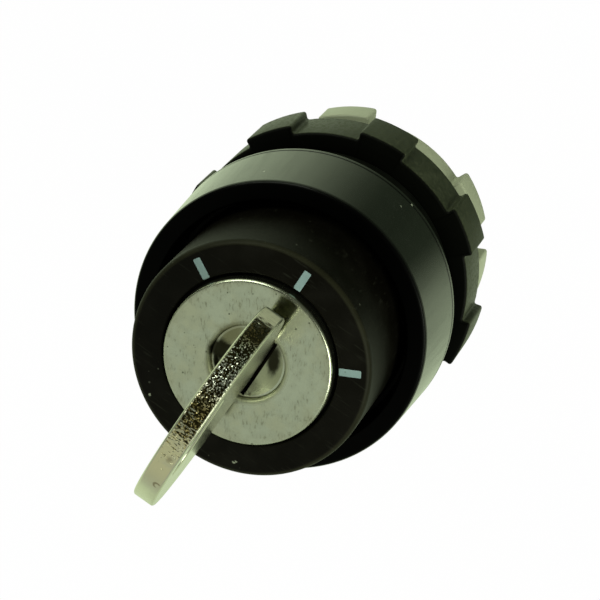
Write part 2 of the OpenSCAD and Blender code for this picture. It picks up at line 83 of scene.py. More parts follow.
# Points in millimetres at which a pale speck sticks to the bezel, and to the collar's face
BEZEL_FLECKS = ((3.03, 14.97, 9.1), (3.75, 14.9, 6.9), (-9.78, 11.52, 13.5))
COLLAR_FLECKS = ((4.28, -9.95), (4.4, -9.75), (-6.14, -9.21))

# Wire and windings of a push rod's spring
ROD_WIRE = 0.4 * MM
ROD_WINDINGS = 5

# Softboxes: name of the power's setting, place, and width and height
LIGHT_TONE = (0.92, 1.0, 0.81)
LAMP_TARGET = (0.0, 0.0, 0.01)
LAMPS = (("wall", (0.0, -0.62, 0.50), (2.4, 1.38)),
         ("right", (0.54, 0.115, 0.43), (0.45, 0.4)),
         ("left", (-0.44, 0.37, 0.40), (0.45, 0.4)))


# Property helpers

def length(label, text, value):
    """A length setting whose default is given in millimetres."""
    return bpy.props.FloatProperty(name=label, description=text, default=value * MM,
                                   unit="LENGTH", precision=5)


def number(label, text, value):
    """A plain decimal setting."""
    return bpy.props.FloatProperty(name=label, description=text, default=value)


def angle(label, text, degrees):
    """An angle setting whose default is given in degrees."""
    return bpy.props.FloatProperty(name=label, description=text, default=math.radians(degrees),
                                   subtype="ANGLE")


def count(label, text, value):
    """A whole-number setting."""
    return bpy.props.IntProperty(name=label, description=text, default=value, min=1)


def place(label, text, value):
    """A point in space whose default is given in millimetres."""
    return bpy.props.FloatVectorProperty(name=label, description=text, size=3, subtype="TRANSLATION",
                                         default=tuple(v * MM for v in value))


def colour(label, text, value):
    """A linear colour setting."""
    return bpy.props.FloatVectorProperty(name=label, description=text, size=3, subtype="COLOR",
                                         default=value, min=0.0, max=1.0)


class BezelSettings(bpy.types.PropertyGroup):
    """Sizes of the bezel that its box doesn't give."""
    front: length("Front radius", "Radius of the side wall at the front edge", 15.0)
    mouth: length("Mouth radius", "Radius of the opening in the front face", 13.0)
    edge: length("Front edge", "Rounding of the outer front edge", 0.45)
    lip: length("Lip depth", "Height of the lip round the mouth", 3.1)
    groove: length("Groove height", "Height of the fine groove over the rear edge", 0.55)
    tint: colour("Colour", "Colour of the moulding", (0.0018, 0.0022, 0.0016))


class CollarSettings(bpy.types.PropertyGroup):
    """Sizes of the raised collar and its position marks."""
    radius: length("Radius", "Radius of the raised part", 12.0)
    hole: length("Hole radius", "Radius of the hole round the lock head", 8.75)
    edge: length("Edge", "Rounding of the front edge", 0.6)
    foot: length("Foot height", "Height of the foot under the bezel", 2.4)
    mark_length: length("Mark length", "Length of a position mark", 2.21)
    mark_width: length("Mark width", "Width of a position mark", 0.78)
    mark_place: length("Mark place", "Distance of a mark's middle from the axis", 9.959)
    mark_step: angle("Mark step", "Angle between two marks", 60.0)
    proud: length("Mark height", "How far a mark stands proud of the face", 0.03)
    tint: colour("Colour", "Colour of the collar", (0.0030, 0.0024, 0.0012))
    mark_tint: colour("Mark colour", "Colour of the position marks", (0.275, 0.385, 0.41))


class LockSettings(bpy.types.PropertyGroup):
    """Sizes of the lock's shell."""
    head: length("Head height", "Thickness of the lock head", 3.0)
    edge: length("Head edge", "Rounding of the head's rim", 0.32)
    dish: length("Dish radius", "Radius of the dish at the head's face", 4.05)
    nose: length("Nose radius", "Radius of the dish's wall and of the hole round the plug's nose", 3.72)
    wall: length("Dish wall", "Height of the dish's wall", 0.53)
    bowl: length("Bowl depth", "Depth of the hollow in the plug's nose", 0.65)
    bowl_rim: length("Bowl rim", "Radius of the hollow at the plug's nose", 3.45)
    nose_foot: length("Nose depth", "Depth of the plug's shoulder under the head's face", 1.48)
    barrel: length("Barrel radius", "Radius of the lock barrel", 6.9)
    bore: length("Bore radius", "Radius of the bore round the plug", 4.65)
    tint: colour("Colour", "Colour of the plated metal", (0.60, 0.64, 0.52))


class KeySettings(bpy.types.PropertyGroup):
    """Sizes of the flat key."""
    thickness: length("Thickness", "Thickness of the key", 2.2)
    bow: length("Bow radius", "Radius of the round bow", 10.5)
    edge: length("Edge", "Rounding along the edges", 0.25)
    blade: length("Blade half width", "Half the width of the blade", 3.15)
    shoulder: length("Shoulder half width", "Half the width over the shoulders", 3.45)
    shoulder_gap: length("Shoulder height", "Height of the shoulders under the bow's lowest point", 1.65)
    hole_length: length("Ring hole length", "Length of the ring hole", 8.6)
    hole_width: length("Ring hole width", "Width of the ring hole", 3.2)
    hole_wall: length("Ring hole wall", "Metal between the ring hole and the bow's top", 2.6)
    cut_first: length("First cut", "Distance from the tip to the first wafer cut", 3.5)
    cut_pitch: length("Cut pitch", "Distance between two wafer cuts", 2.5)
    cut_radius: length("Cut radius", "Radius of a wafer cut", 0.85)
    cuts: count("Cuts", "Number of wafer cuts on each edge", 6)
    tint: colour("Colour", "Colour of the plated metal", (0.63, 0.62, 0.50))


class BodySettings(bpy.types.PropertyGroup):
    """Sizes of the body with its threaded barrel."""
    flange: length("Flange radius", "Radius of the flange", 13.35)
    seat: length("Seat height", "Height of the flange's rear face", 2.2)
    crest: length("Thread crest", "Radius over the thread", 11.0)
    depth: length("Thread depth", "Depth of the thread", 0.35)
    pitch: length("Thread pitch", "Distance between two turns of the thread", 1.0)
    thread_foot: length("Thread foot", "Height of the thread's rear end", -11.4)
    tail: length("Tail radius", "Radius of the plain end", 10.4)
    bore: length("Bore radius", "Radius of the rear socket", 9.2)
    ledge: length("Ledge radius", "Radius of the chamber over the guide plate", 8.7)
    plate_top: length("Plate height", "Height of the guide plate's front face", -11.0)
    deck_foot: length("Deck foot", "Height of the deck's rear face", 1.51)
    deck_top: length("Deck top", "Height of the deck's front face", 4.51)
    hub_hole: length("Hub hole", "Radius of the hole in the deck", 4.78)
    cavity: length("Cavity radius", "Radius of the cavity round the lock's nut", 10.28)
    keyway_width: length("Keyway width", "Width of the keyway", 3.0)
    keyway_depth: length("Keyway depth", "Depth of the keyway", 0.8)
    tint: colour("Colour", "Colour of the body and the gasket", (0.009, 0.011, 0.007))


class NutSettings(bpy.types.PropertyGroup):
    """Sizes of the fixing nut."""
    tip: length("Tab radius", "Radius over the tabs", 16.12)
    root: length("Root radius", "Radius between the tabs", 15.23)
    bore: length("Bore radius", "Radius of the threaded hole", 11.05)
    tabs: count("Tabs", "Number of tabs", 8)
    span: angle("Tab span", "Angle that one tab covers", 18.8)
    turn: angle("Turn", "Angle of the first tab from the middle mark", 8.75)
    edge: length("Edge", "Rounding of the edges", 0.28)
    tint: colour("Colour", "Colour of the nut", (0.024, 0.029, 0.014))


class RingSettings(bpy.types.PropertyGroup):
    """Sizes of the coupling ring."""
    tip: length("Lug radius", "Radius over the lugs", 14.1)
    root: length("Root radius", "Radius between the lugs", 12.8)
    bore: length("Bore radius", "Radius of the hole", 10.45)
    places: count("Places", "Number of lug places", 10)
    span: angle("Lug span", "Angle that one lug covers", 23.0)
    edge: length("Edge", "Rounding of the edges", 0.3)
    tint: colour("Colour", "Colour of the ring", (0.48, 0.51, 0.365))


class StageSettings(bpy.types.PropertyGroup):
    """Camera, lamps and floor."""
    camera: place("Camera", "Place of the camera", (13.93, 125.89, 283.06))
    target: place("Target", "Point that the camera looks at", (0.316, 3.821, 16.5))
    roll: angle("Roll", "Turn of the camera round its view", -139.03)
    lens: number("Lens", "Focal length in millimetres on a sensor of 36 mm", 180.0)
    floor: length("Floor size", "Half the width of the floor", 900.0)
    sky: number("Sky", "Strength of the light from all round", 0.05)
    wall: number("Wall", "Power of the wide soft wall of light in watts", 4.7)
    right: number("Right lamp", "Power of the softbox on the right in watts", 3.0)
    left: number("Left lamp", "Power of the softbox on the left in watts", 2.2)
    mirrored: number("Mirrored floor", "Strength of the floor in reflections", 0.9)


GROUPS = {"bezel": BezelSettings, "collar": CollarSettings, "lock": LockSettings, "key": KeySettings,
          "body": BodySettings, "nut": NutSettings, "ring": RingSettings, "stage": StageSettings}


class SwitchSettings(bpy.types.PropertyGroup):
    """All settings of the key switch."""
    bezel: bpy.props.PointerProperty(type=BezelSettings, name="Bezel")
    collar: bpy.props.PointerProperty(type=CollarSettings, name="Collar")
    lock: bpy.props.PointerProperty(type=LockSettings, name="Lock")
    key: bpy.props.PointerProperty(type=KeySettings, name="Key")
    body: bpy.props.PointerProperty(type=BodySettings, name="Body")
    nut: bpy.props.PointerProperty(type=NutSettings, name="Fixing nut")
    ring: bpy.props.PointerProperty(type=RingSettings, name="Coupling ring")
    stage: bpy.props.PointerProperty(type=StageSettings, name="Stage")


# Shader maths

class Value:
    """A node's output socket that takes part in sums."""

    def __init__(self, shader, socket):
        self.shader = shader
        self.socket = socket

    def _sum(self, operation, *others):
        """A maths node that takes these values in order."""
        return self.shader.node("ShaderNodeMath", {"operation": operation}, dict(enumerate(others)))

    def __add__(self, other):
        return self._sum("ADD", self, other)

    def __sub__(self, other):
        return self._sum("SUBTRACT", self, other)

    def __rsub__(self, other):
        return self._sum("SUBTRACT", other, self)

    def __mul__(self, other):
        return self._sum("MULTIPLY", self, other)

    def __truediv__(self, other):
        return self._sum("DIVIDE", self, other)

    def most(self, other):
        """The larger of two values."""
        return self._sum("MAXIMUM", self, other)

    def power(self, other):
        """This value raised to a power."""
        return self._sum("POWER", self, other)

    def size(self):
        """The value without its sign."""
        return self._sum("ABSOLUTE", self)

    def step(self, low, high):
        """0 under low, 1 over high, and smooth between them."""
        settings = {"interpolation_type": "SMOOTHSTEP"}
        return self.shader.node("ShaderNodeMapRange", settings, {0: self, 1: low, 2: high, 3: 0.0, 4: 1.0})

    def between(self, low, high):
        """This value, from 0 to 1, mapped to run from low to high."""
        return self * (high - low) + low


class Shader:
    """A node material under construction, with coordinates in millimetres."""

    def __init__(self, name):
        self.material = bpy.data.materials.new(name)
        self.material.use_nodes = True
        self.tree = self.material.node_tree
        self.tree.nodes.clear()
        self.output = self.tree.nodes.new("ShaderNodeOutputMaterial")
        where = self.node("ShaderNodeTexCoord", output="Object")
        settings = {"operation": "SCALE"}
        self.place = self.node("ShaderNodeVectorMath", settings, {0: where, "Scale": 1.0 / MM})
        self.x, self.y, self.z = self.split(self.place)
        self.radius = (self.x * self.x + self.y * self.y).power(0.5)

    def node(self, kind, settings=None, inputs=None, output=0):
        """Add a node, set its settings, fill or link its inputs, and give back one output."""
        node = self.tree.nodes.new(kind)
        for name, value in (settings or {}).items():
            setattr(node, name, value)
        for name, value in (inputs or {}).items():
            if isinstance(value, Value):
                self.tree.links.new(value.socket, node.inputs[name])
            else:
                node.inputs[name].default_value = value
        return Value(self, node.outputs[output])

    def noise(self, scale, detail=2.0, rough=0.5, at=None):
        """Fractal noise from 0 to 1, with its scale in cells per millimetre."""
        inputs = {"Vector": at or self.place, "Scale": scale, "Detail": detail, "Roughness": rough}
        return self.node("ShaderNodeTexNoise", {}, inputs)

    def cells(self, scale, at=None):
        """Distance to the nearest of scattered points, and three numbers drawn for that point."""
        inputs = {"Vector": at or self.place, "Scale": scale}
        cell = self.node("ShaderNodeTexVoronoi", {"feature": "F1"}, inputs)
        return cell, self.split(Value(self, cell.socket.node.outputs["Color"]))

    def vector(self, x, y, z):
        """A vector from three values."""
        return self.node("ShaderNodeCombineXYZ", {}, {0: x, 1: y, 2: z})

    def split(self, vector):
        """The three parts of a vector or a colour."""
        node = self.node("ShaderNodeSeparateXYZ", {}, {0: vector}).socket.node
        return tuple(Value(self, node.outputs[i]) for i in range(3))

    def distance(self, point):
        """Distance in millimetres from a point."""
        inputs = {0: self.place, 1: point}
        return self.node("ShaderNodeVectorMath", {"operation": "DISTANCE"}, inputs, "Value")

    def polar(self, side, ahead):
        """The angle in degrees from the ahead axis towards the side axis."""
        return self.node("ShaderNodeMath", {"operation": "ARCTAN2"}, {0: side, 1: ahead}) * DEGREES

    def mix(self, share, first, second):
        """The first colour where share is 0, and the second where it is 1."""
        inputs = {0: share}
        for index, value in ((6, first), (7, second)):
            inputs[index] = value if isinstance(value, Value) else (*value, 1.0)
        return self.node("ShaderNodeMix", {"data_type": "RGBA"}, inputs, 2)

    def specks(self, scale, share):
        """Sparse small dots: 1 in a dot and 0 round it, with about this share of cells filled."""
        away, (pick, size, _) = self.cells(scale)
        return (1.0 - (away / (size * 0.16 + 0.05)).step(0.6, 1.0)) * (1.0 - pick.step(share, share + 0.01))

    def bump(self, height, strength, distance):
        """A normal bent by a height, whose distance is in millimetres."""
        inputs = {"Strength": strength, "Distance": distance * MM, "Height": height}
        return self.node("ShaderNodeBump", {}, inputs, "Normal")

    def principled(self, constants, **varied):
        """Close the material with the main shader: constants by socket name, and values that vary."""
        inputs = dict(constants)
        for name, value in varied.items():
            inputs[name.replace("_", " ")] = value
        surface = self.node("ShaderNodeBsdfPrincipled", {}, inputs)
        self.tree.links.new(surface.socket, self.output.inputs["Surface"])
        return self.material


def shaded(tint, share, more=0.0):
    """A colour times a share, with a little of grey added."""
    return tuple(min(1.0, c * share + more) for c in tint)


def plastic(name, tint, rough=0.42, gloss=0.5, grain=6.0, grain_height=0.35, dust=0.12,
            dust_tint=(0.22, 0.24, 0.2), face=None, skin=0.2, share=1.0, highlit_edge=None, dusty=0.0, flecks=()):
    """Moulded plastic: fine grain, uneven sheen, faint scuffs and some dust.

    face, where given, is the height in metres of a matt front face that is painted darker, a painted
    shade: the walls behind it get a share of smooth skin, of the given roughness, with faint streaks along
    the axis.
    highlit_edge, where given, is the radius and the height in metres of a front edge that is painted
    paler, a painted highlight. dusty is the strength of fine dust grains, and flecks are the points in
    millimetres at which a pale speck sticks.
    """
    s = Shader(name)
    cloud = s.noise(0.35, 3.0)
    fine = s.noise(grain, 3.0, 0.6)
    scuff = s.noise(1.0, 2.0, at=s.vector(s.x * 0.4, s.y * 5.0, s.z * 0.6)).step(0.62, 0.74)
    grains = s.noise(2.6, 4.0, 0.8).step(0.46, 0.6) * dusty
    dots = s.specks(1.6, dust)
    base = s.mix(cloud.step(0.35, 0.75) * 0.6, tint, shaded(tint, 1.5, 0.004))
    base = s.mix(scuff * 0.06, base, dust_tint)
    base = s.mix(grains, base, dust_tint)
    base = s.mix(dots * 0.5, base, dust_tint)
    for point in flecks:
        ragged = s.distance(point) + fine.between(-0.16, 0.16)
        base = s.mix(1.0 - ragged.step(0.06, 0.17), base, (0.30, 0.32, 0.25))
    # Painted highlight: a paler band along the front edge
    if highlit_edge is not None:
        out, up = (size / MM for size in highlit_edge)
        edge = s.radius.step(out - 0.55, out - 0.3) * s.z.step(up - 0.6, up - 0.2)
        base = s.mix(edge * cloud.between(0.2, 0.9), base, (0.028, 0.028, 0.014))
    sheen = cloud.between(rough - 0.06, rough + 0.08) + scuff * 0.08 + dots * 0.3
    normal = s.bump(fine, grain_height, 0.01)
    varied = {"Base_Color": base, "Roughness": sheen, "Normal": normal}
    if face is not None:
        streak = s.noise(0.9, 3.0, 0.6, at=s.vector(s.x, s.y, s.z * 0.08))
        # Painted shade: the walls below the face's height keep the base colour, and the front face is
        # painted at a twentieth of the tint
        wall = 1.0 - s.z.step(face / MM - 0.22, face / MM - 0.06)
        varied["Base_Color"] = s.mix(wall, shaded(tint, 0.05), base)
        clear = 1.0 - streak.step(0.42, 0.75) * 0.14
        varied["Coat_Weight"] = wall * (clear * share - dots * 0.4 - grains)
    return s.principled({"Specular IOR Level": gloss, "Coat Roughness": skin, "Coat IOR": 1.4}, **varied)


def rubber(name, tint):
    """Matt rubber with a soft bloom and fine pores."""
    s = Shader(name)
    bloom = s.noise(0.8, 3.0).step(0.4, 0.8)
    pores = s.cells(5.0)[0]
    base = s.mix(bloom * 0.5, tint, shaded(tint, 1.8, 0.001))
    return s.principled({"Specular IOR Level": 0.1}, Base_Color=base, Roughness=bloom.between(0.6, 0.75),
                        Normal=s.bump(pores, 0.25, 0.02))


def metal(name, tint, rough=0.3, turned=True, painted_slot_shade=None):
    """Plated or plain metal: turning marks round the axis, a cloudy sheen, pits and a little soil.

    painted_slot_shade, where given, works out from the shader the share of painted black shade at
    each point, and the dish's tan and painted dark reflections lie over the rest.
    """
    s = Shader(name)
    cloud = s.noise(0.5, 4.0, 0.6)
    at = s.vector(s.radius * 9.0, 0.0, s.z * 9.0) if turned else s.vector(s.x * 1.2, s.y * 1.2, s.z * 9.0)
    marks = s.noise(1.0, 3.0, 0.7, at=at)
    dents = s.specks(1.1, 0.15)
    grime = cloud.step(0.55, 0.85)
    base = s.mix(grime * 0.25, tint, shaded(tint, 0.7))
    base = s.mix(dents * 0.7, base, (0.16, 0.15, 0.09))
    if painted_slot_shade is not None:
        # Painted shade: black in the key slot, over the dish's tan and painted dark reflections
        base = s.mix(painted_slot_shade(s), dish_tan_and_painted_reflections(s, base), (0.006, 0.005, 0.003))
    sheen = cloud.between(rough - 0.05, rough + 0.08) + marks.between(-0.03, 0.05)
    normal = s.bump(marks * 0.5 - dents, 0.35, 0.012)
    return s.principled({"Metallic": 1.0}, Base_Color=base, Roughness=sheen, Normal=normal)


def dish_tan_and_painted_reflections(s, base):
    """The dish: tan round its rim, and black-brown painted reflections beside the key, more on the -X side.
    """
    turn = s.polar(s.x, s.y)
    drift = s.noise(1.6, 3.0, 0.6).between(-0.5, 0.5)
    outside = s.radius.step(3.66, 3.72)
    clean = 1.0 - (turn - 92.0).size().step(24.0, 50.0)
    rim = s.radius.step(3.3, 3.7) * (1.0 - s.radius.step(4.05, 4.4))
    rim = rim * outside.most(1.0 - clean) * outside.between(0.75, 0.15)
    tan = 1.0 - ((s.x + 2.8).size() + (s.y - 1.4).size() * 0.7 + drift).step(0.7, 1.9)
    # Painted dark reflections beside the key: left, band and right
    left = ((s.x + 2.7) * (s.x + 2.7) * 0.6 + (s.y + 0.7) * (s.y + 0.7)).power(0.5)
    left = 1.0 - (left + drift * 0.6).step(0.7, 1.3)
    band = 1.0 - ((s.radius - 3.2).size() + drift * 0.3).step(0.12, 0.42)
    band = band * (1.0 - (turn + 110.0).size().step(20.0, 34.0))
    across = (s.x - 1.95) * 0.93 + (s.y - 1.5) * 0.37
    along = (s.y - 1.5) * 0.93 - (s.x - 1.95) * 0.37
    right = (across * across * 2.0 + along * along * 0.4).power(0.5)
    right = 1.0 - (right + drift * 0.6).step(0.6, 1.3)
    base = s.mix(rim.most(tan * 0.7), base, (0.30, 0.28, 0.17))
    return s.mix(left.most(band).most(right) * 0.95, base, (0.014, 0.012, 0.005))


def brushed(name, tint):
    """Satin-bright plating: short dark streaks along the lay of the polishing, soft clouds and pits.

    The face is soiled a little towards the rim, and the rim itself and the dish are duller.
    """
    s = Shader(name)
    along = s.x * 0.53 - s.y * 0.85
    across = s.x * -0.85 - s.y * 0.53
    cloud = s.noise(0.35, 4.0, 0.6)
    patch = s.noise(0.9, 3.0, 0.6)
    streak = s.noise(1.0, 3.0, 0.65, at=s.vector(across * 4.2, along * 1.1, s.z * 2.0))
    hair = s.noise(1.0, 2.0, 0.6, at=s.vector(across * 16.0, along * 1.2, s.z * 2.0))
    pits = s.specks(1.5, 0.3)
    dark = streak.step(0.51, 0.65) * patch.step(0.45, 0.62) + hair.step(0.58, 0.72) * 0.3
    dish = 1.0 - s.radius.step(3.95, 4.4)
    border = s.radius.step(7.0, 8.2) * patch.step(0.3, 0.6)
    base = s.mix(cloud.step(0.4, 0.62) * 0.8, tint, (tint[0] * 0.98, tint[1] * 0.94, tint[2] * 0.87))
    base = s.mix(patch.step(0.35, 0.65) * 0.5, base, shaded(tint, 0.82))
    base = s.mix(border * 0.4, base, (tint[0] * 0.86, tint[1] * 0.79, tint[2] * 0.72))
    base = s.mix(dark * 0.5, base, (0.20, 0.20, 0.12))
    base = s.mix(pits * 0.7, base, (0.10, 0.11, 0.07))
    # The dish's tan and its painted dark reflections
    base = dish_tan_and_painted_reflections(s, base)
    sheen = cloud.between(0.09, 0.14) + dark * 0.1 + pits * 0.2 + dish * 0.4
    sheen = sheen + s.radius.step(7.85, 8.05) * 0.16
    normal = s.bump(hair * 0.25 + streak * 0.35 - pits, 0.2, 0.008)
    return s.principled({"Metallic": 1.0}, Base_Color=base, Roughness=sheen, Normal=normal)


def acetal(name, tint):
    """Natural moulded plastic, milky and slightly waxy."""
    s = Shader(name)
    cloud = s.noise(0.6, 3.0)
    flow = s.noise(0.7, 2.0, at=s.vector(s.x, s.y, s.z * 3.0))
    base = s.mix(cloud * 0.5, tint, shaded(tint, 0.86))
    return s.principled({"Specular IOR Level": 0.45}, Base_Color=base, Roughness=flow.between(0.34, 0.48),
                        Normal=s.bump(s.noise(4.0, 2.0), 0.12, 0.01))


def key_metal(name, tint, centre, bow):
    """Plated key: long scratches over the flats, and a rim worn through to dark, glinting metal.

    turn is the angle in degrees round the bow's centre, from the top towards +Y, and run is the
    way in millimetres along the rim at that angle. The rim is worn down to dark grains with
    glints, silvery in the middle, golden below it and dim brown above it. The bow's underside is
    painted dark with grey mottles, a painted shade; its end towards +Y is dull and scored, and
    two brown stains lie before the worn part.
    """
    s = Shader(name)
    up = s.z - centre / MM
    reach = (s.y * s.y + up * up).power(0.5)
    turn = s.polar(s.y, up)
    run = turn * (bow / MM / DEGREES)
    strokes = s.noise(1.0, 2.0, 0.6, at=s.vector(s.x * 1.3, run * 5.0, 0.0))
    edge = reach.step(bow / MM - 0.5, bow / MM - 0.2) * (1.0 - s.x.size().step(0.84, 0.98))
    low_end = (turn + strokes.between(-50.0, 50.0)).step(3.0, 9.0)
    high_end = 1.0 - (turn + strokes.between(-12.0, 12.0)).step(84.0, 88.0)
    # The bow's underside, painted dark as painted shade
    under = turn.size().step(104.0, 112.0)
    worn_rim_and_under_shade = edge * (low_end * high_end).most(under)
    stain = s.noise(2.2, 3.0, 0.6).between(-0.5, 0.5)
    near = ((run + 1.3) * (run + 1.3) + (s.x - 0.3) * (s.x - 0.3)).power(0.5) + stain * 0.5
    far = ((run + 5.0) * (run + 5.0) + (s.x - 0.62) * (s.x - 0.62)).power(0.5) + stain * 0.3
    open_side = ((run + 5.0) * 0.4 - s.x + 0.62).step(-0.2, 0.05)
    hook = (1.0 - (far - 0.34).size().step(0.03, 0.17)) * open_side
    brown = edge * ((1.0 - near.step(0.05, 0.5)) * 0.7).most(hook)
    dull = edge * (1.0 - (turn - 96.0).size().step(7.0, 12.0))
    chance, lean, pitch = s.cells(1.0, s.vector(s.x * 9.0, run * 8.0, 0.0))[1]
    silver = turn.step(22.0, 40.0) * (1.0 - turn.step(58.0, 72.0))
    upper = turn.step(60.0, 74.0)
    glint = (chance - upper * 0.12 + silver * 0.04).step(0.75, 0.81) * (1.0 - under)
    scratch = s.noise(1.0, 3.0, 0.6, at=s.vector(s.x, s.y * 1.4, s.z * 9.0))
    cross = s.noise(1.0, 3.0, 0.6, at=s.vector(s.x, s.y * 8.0 + s.z * 4.0, s.z * 0.8))
    cloud = s.noise(0.45, 4.0, 0.6)
    dents = s.specks(0.9, 0.2)
    base = s.mix(cloud.step(0.5, 0.8) * 0.3, tint, shaded(tint, 0.72))
    base = s.mix(dents * 0.6, base, (0.12, 0.09, 0.045))
    spark = s.mix(silver, s.mix(upper, (0.52, 0.42, 0.18), (0.18, 0.13, 0.055)), (0.90, 0.92, 0.82))
    grains = s.mix(glint, (0.031, 0.025, 0.009), spark)
    # Grey mottles over the underside's painted shade
    grains = s.mix(under * cross.step(0.4, 0.62) * 0.8, grains, (0.20, 0.20, 0.11))
    warm = edge * (1.0 - turn.step(2.0, 20.0)) * turn.step(-36.0, -14.0) * cloud.step(0.2, 0.55)
    base = s.mix(warm * 0.8, base, (0.84, 0.77, 0.50))
    base = s.mix(brown * 0.7, base, (0.20, 0.14, 0.07))
    lines = s.noise(1.0, 3.0, 0.7, at=s.vector(s.x * 0.7, run * 6.0, 0.0)).step(0.52, 0.7)
    base = s.mix(dull * 0.9, base, s.mix(lines * 0.7, (0.56, 0.56, 0.40), (0.13, 0.12, 0.07)))
    base = s.mix(worn_rim_and_under_shade, base, grains)
    flat = s.x.size().step(0.98, 1.06)
    sheen = cloud.between(0.24, 0.34) + scratch.between(-0.05, 0.08) + dull * 0.35 - flat * 0.08
    facet = ((lean - 0.5) * s.x + (pitch - 0.5) * run) * 60.0
    height = scratch * 0.3 + cross * 0.25 - dents * (1.0 - worn_rim_and_under_shade) * 0.6 + worn_rim_and_under_shade * facet
    return s.principled({}, Base_Color=base, Roughness=sheen, Metallic=1.0 - dull * 0.6,
                        Normal=s.bump(height, 0.5, 0.02))


# Outlines and surfaces

def rounded(corners, steps=5, guard=0.06 * MM):
    """A closed outline whose corners are arcs.

    Each corner is (u, v, radius). The arc's centre lies on the corner's bisector, at the radius
    from both sides. Straight runs get a guard point near each end, so that they shade flat.
    """
    points = np.array([c[:2] for c in corners], float)
    chains = []
    for i, corner in enumerate(corners):
        here, radius = points[i], corner[2]
        if radius <= 0.0:
            chains.append(here[None])
            continue
        a = points[i - 1] - here
        b = points[(i + 1) % len(points)] - here
        a /= np.linalg.norm(a)
        b /= np.linalg.norm(b)
        half = math.acos(float(np.clip(a @ b, -1.0, 1.0))) / 2.0
        bisector = (a + b) / np.linalg.norm(a + b)
        centre = here + bisector * radius / math.sin(half)
        start = (here + a * radius / math.tan(half) - centre) / radius
        end = (here + b * radius / math.tan(half) - centre) / radius
        sweep = math.acos(float(np.clip(start @ end, -1.0, 1.0)))
        t = np.linspace(0.0, 1.0, steps + 1)[:, None]
        arc = (np.sin((1.0 - t) * sweep) * start + np.sin(t * sweep) * end) / math.sin(sweep)
        chains.append(centre + arc * radius)
    out = []
    for chain, following in zip(chains, chains[1:] + chains[:1]):
        out.extend(chain)
        run = following[0] - chain[-1]
        span = np.linalg.norm(run)
        if span > guard * 4.0:
            out.append(chain[-1] + run * guard / span)
            out.append(following[0] - run * guard / span)
    return np.array(out)


def divided(outline, longest):
    """A closed outline with points added, so that no run is longer than the given length."""
    out = []
    for a, b in zip(outline, np.roll(outline, -1, axis=0)):
        n = max(1, math.ceil(np.linalg.norm(b - a) / longest - 1e-9))
        out.extend(a + (b - a) * np.arange(n)[:, None] / n)
    return np.array(out)


def outward(outline):
    """The unit normals of a closed outline that runs counter-clockwise round the material.

    Each is the line between the point's two neighbours, turned clockwise by a quarter turn.
    """
    along = np.roll(outline, -1, axis=0) - np.roll(outline, 1, axis=0)
    along /= np.linalg.norm(along, axis=1)[:, None]
    return np.stack([along[:, 1], -along[:, 0]], axis=1)


def grid_faces(rows, columns, start=0):
    """Quads of a grid that is closed both ways."""
    i, j = np.meshgrid(np.arange(rows), np.arange(columns), indexing="ij")
    a = i * columns + j
    b = i * columns + (j + 1) % columns
    c = (i + 1) % rows * columns + (j + 1) % columns
    d = (i + 1) % rows * columns + j
    return start + np.stack([a, b, c, d], axis=-1).reshape(-1, 4)


def strip_faces(rows, columns, start=0):
    """Quads of a grid that is closed along its columns and open at its first and last row."""
    return grid_faces(rows, columns, start)[:(rows - 1) * columns]


def make(name, points, faces):
    """A smooth-shaded object from points and faces, turned inside out if its volume is negative."""
    points = np.asarray(points, float)
    faces = [list(map(int, f)) for f in faces]
    volume = 0.0
    for f in faces:
        corners = points[f]
        for k in range(1, len(f) - 1):
            volume += np.dot(corners[0], np.cross(corners[k], corners[k + 1]))
    if volume < 0.0:
        faces = [f[::-1] for f in faces]
    mesh = bpy.data.meshes.new(name)
    mesh.from_pydata(points.tolist(), [], faces)
    mesh.validate()
    mesh.polygons.foreach_set("use_smooth", np.ones(len(mesh.polygons), bool))
    mesh.set_sharp_from_angle(angle=SHARP)
    mesh.update()
    piece = bpy.data.objects.new(name, mesh)
    bpy.context.scene.collection.objects.link(piece)
    return piece


def turned(name, section, turns=224, radius=None, spots=None):
    """A surface of revolution: each point (r, z) of a closed section is carried round +Z.

    radius(r, z, angle), where given, changes the distance from the axis.
    """
    angles = np.linspace(0.0, math.tau, turns, endpoint=False) if spots is None else spots
    r = np.repeat(section[:, :1], len(angles), axis=1)
    z = np.repeat(section[:, 1:], len(angles), axis=1)
    a = np.repeat(angles[None], len(section), axis=0)
    if radius is not None:
        r = radius(r, z, a)
    points = np.stack([r * np.cos(a), r * np.sin(a), z], axis=-1).reshape(-1, 3)
    return make(name, points, grid_faces(len(section), len(angles)))


def edge_rows(edge, flat, start, end, steps=4):
    """Rows of a wall with rounded edges: quarter arcs at both heights, each row as (inset, height)."""
    arc = np.linspace(0.0, math.pi / 2.0, steps + 1)
    way = math.copysign(edge, end - start)
    rows = [(edge + flat, start)]
    rows += [(edge * (1.0 - math.sin(t)), start + way * (1.0 - math.cos(t))) for t in arc]
    return rows + [(inset, start + end - z) for inset, z in rows[::-1]]


def banded(name, outline, edge, low, high, bore, bevel):
    """A ring with a shaped outside: the outline carried over rows from low to high, closed by a bore.

    Each outer row is the outline moved in along its normals. Each inner row is a circle at the
    outline's own polar angles, wider at both ends by the bevel, which is (width, height).
    """
    normals = outward(outline)
    polar = np.arctan2(outline[:, 1], outline[:, 0])
    circle = np.stack([np.cos(polar), np.sin(polar)], axis=1)
    rings = [(outline - normals * inset, z) for inset, z in edge_rows(edge, 0.05 * MM, low, high)]
    wide, deep = bevel
    rings += [(circle * r, z) for r, z in ((bore + wide, high), (bore, high - deep), (bore, low + deep),
                                           (bore + wide, low))]
    rows = [np.column_stack([ring, np.full(len(outline), z)]) for ring, z in rings]
    return make(name, np.concatenate(rows), grid_faces(len(rows), len(outline)))


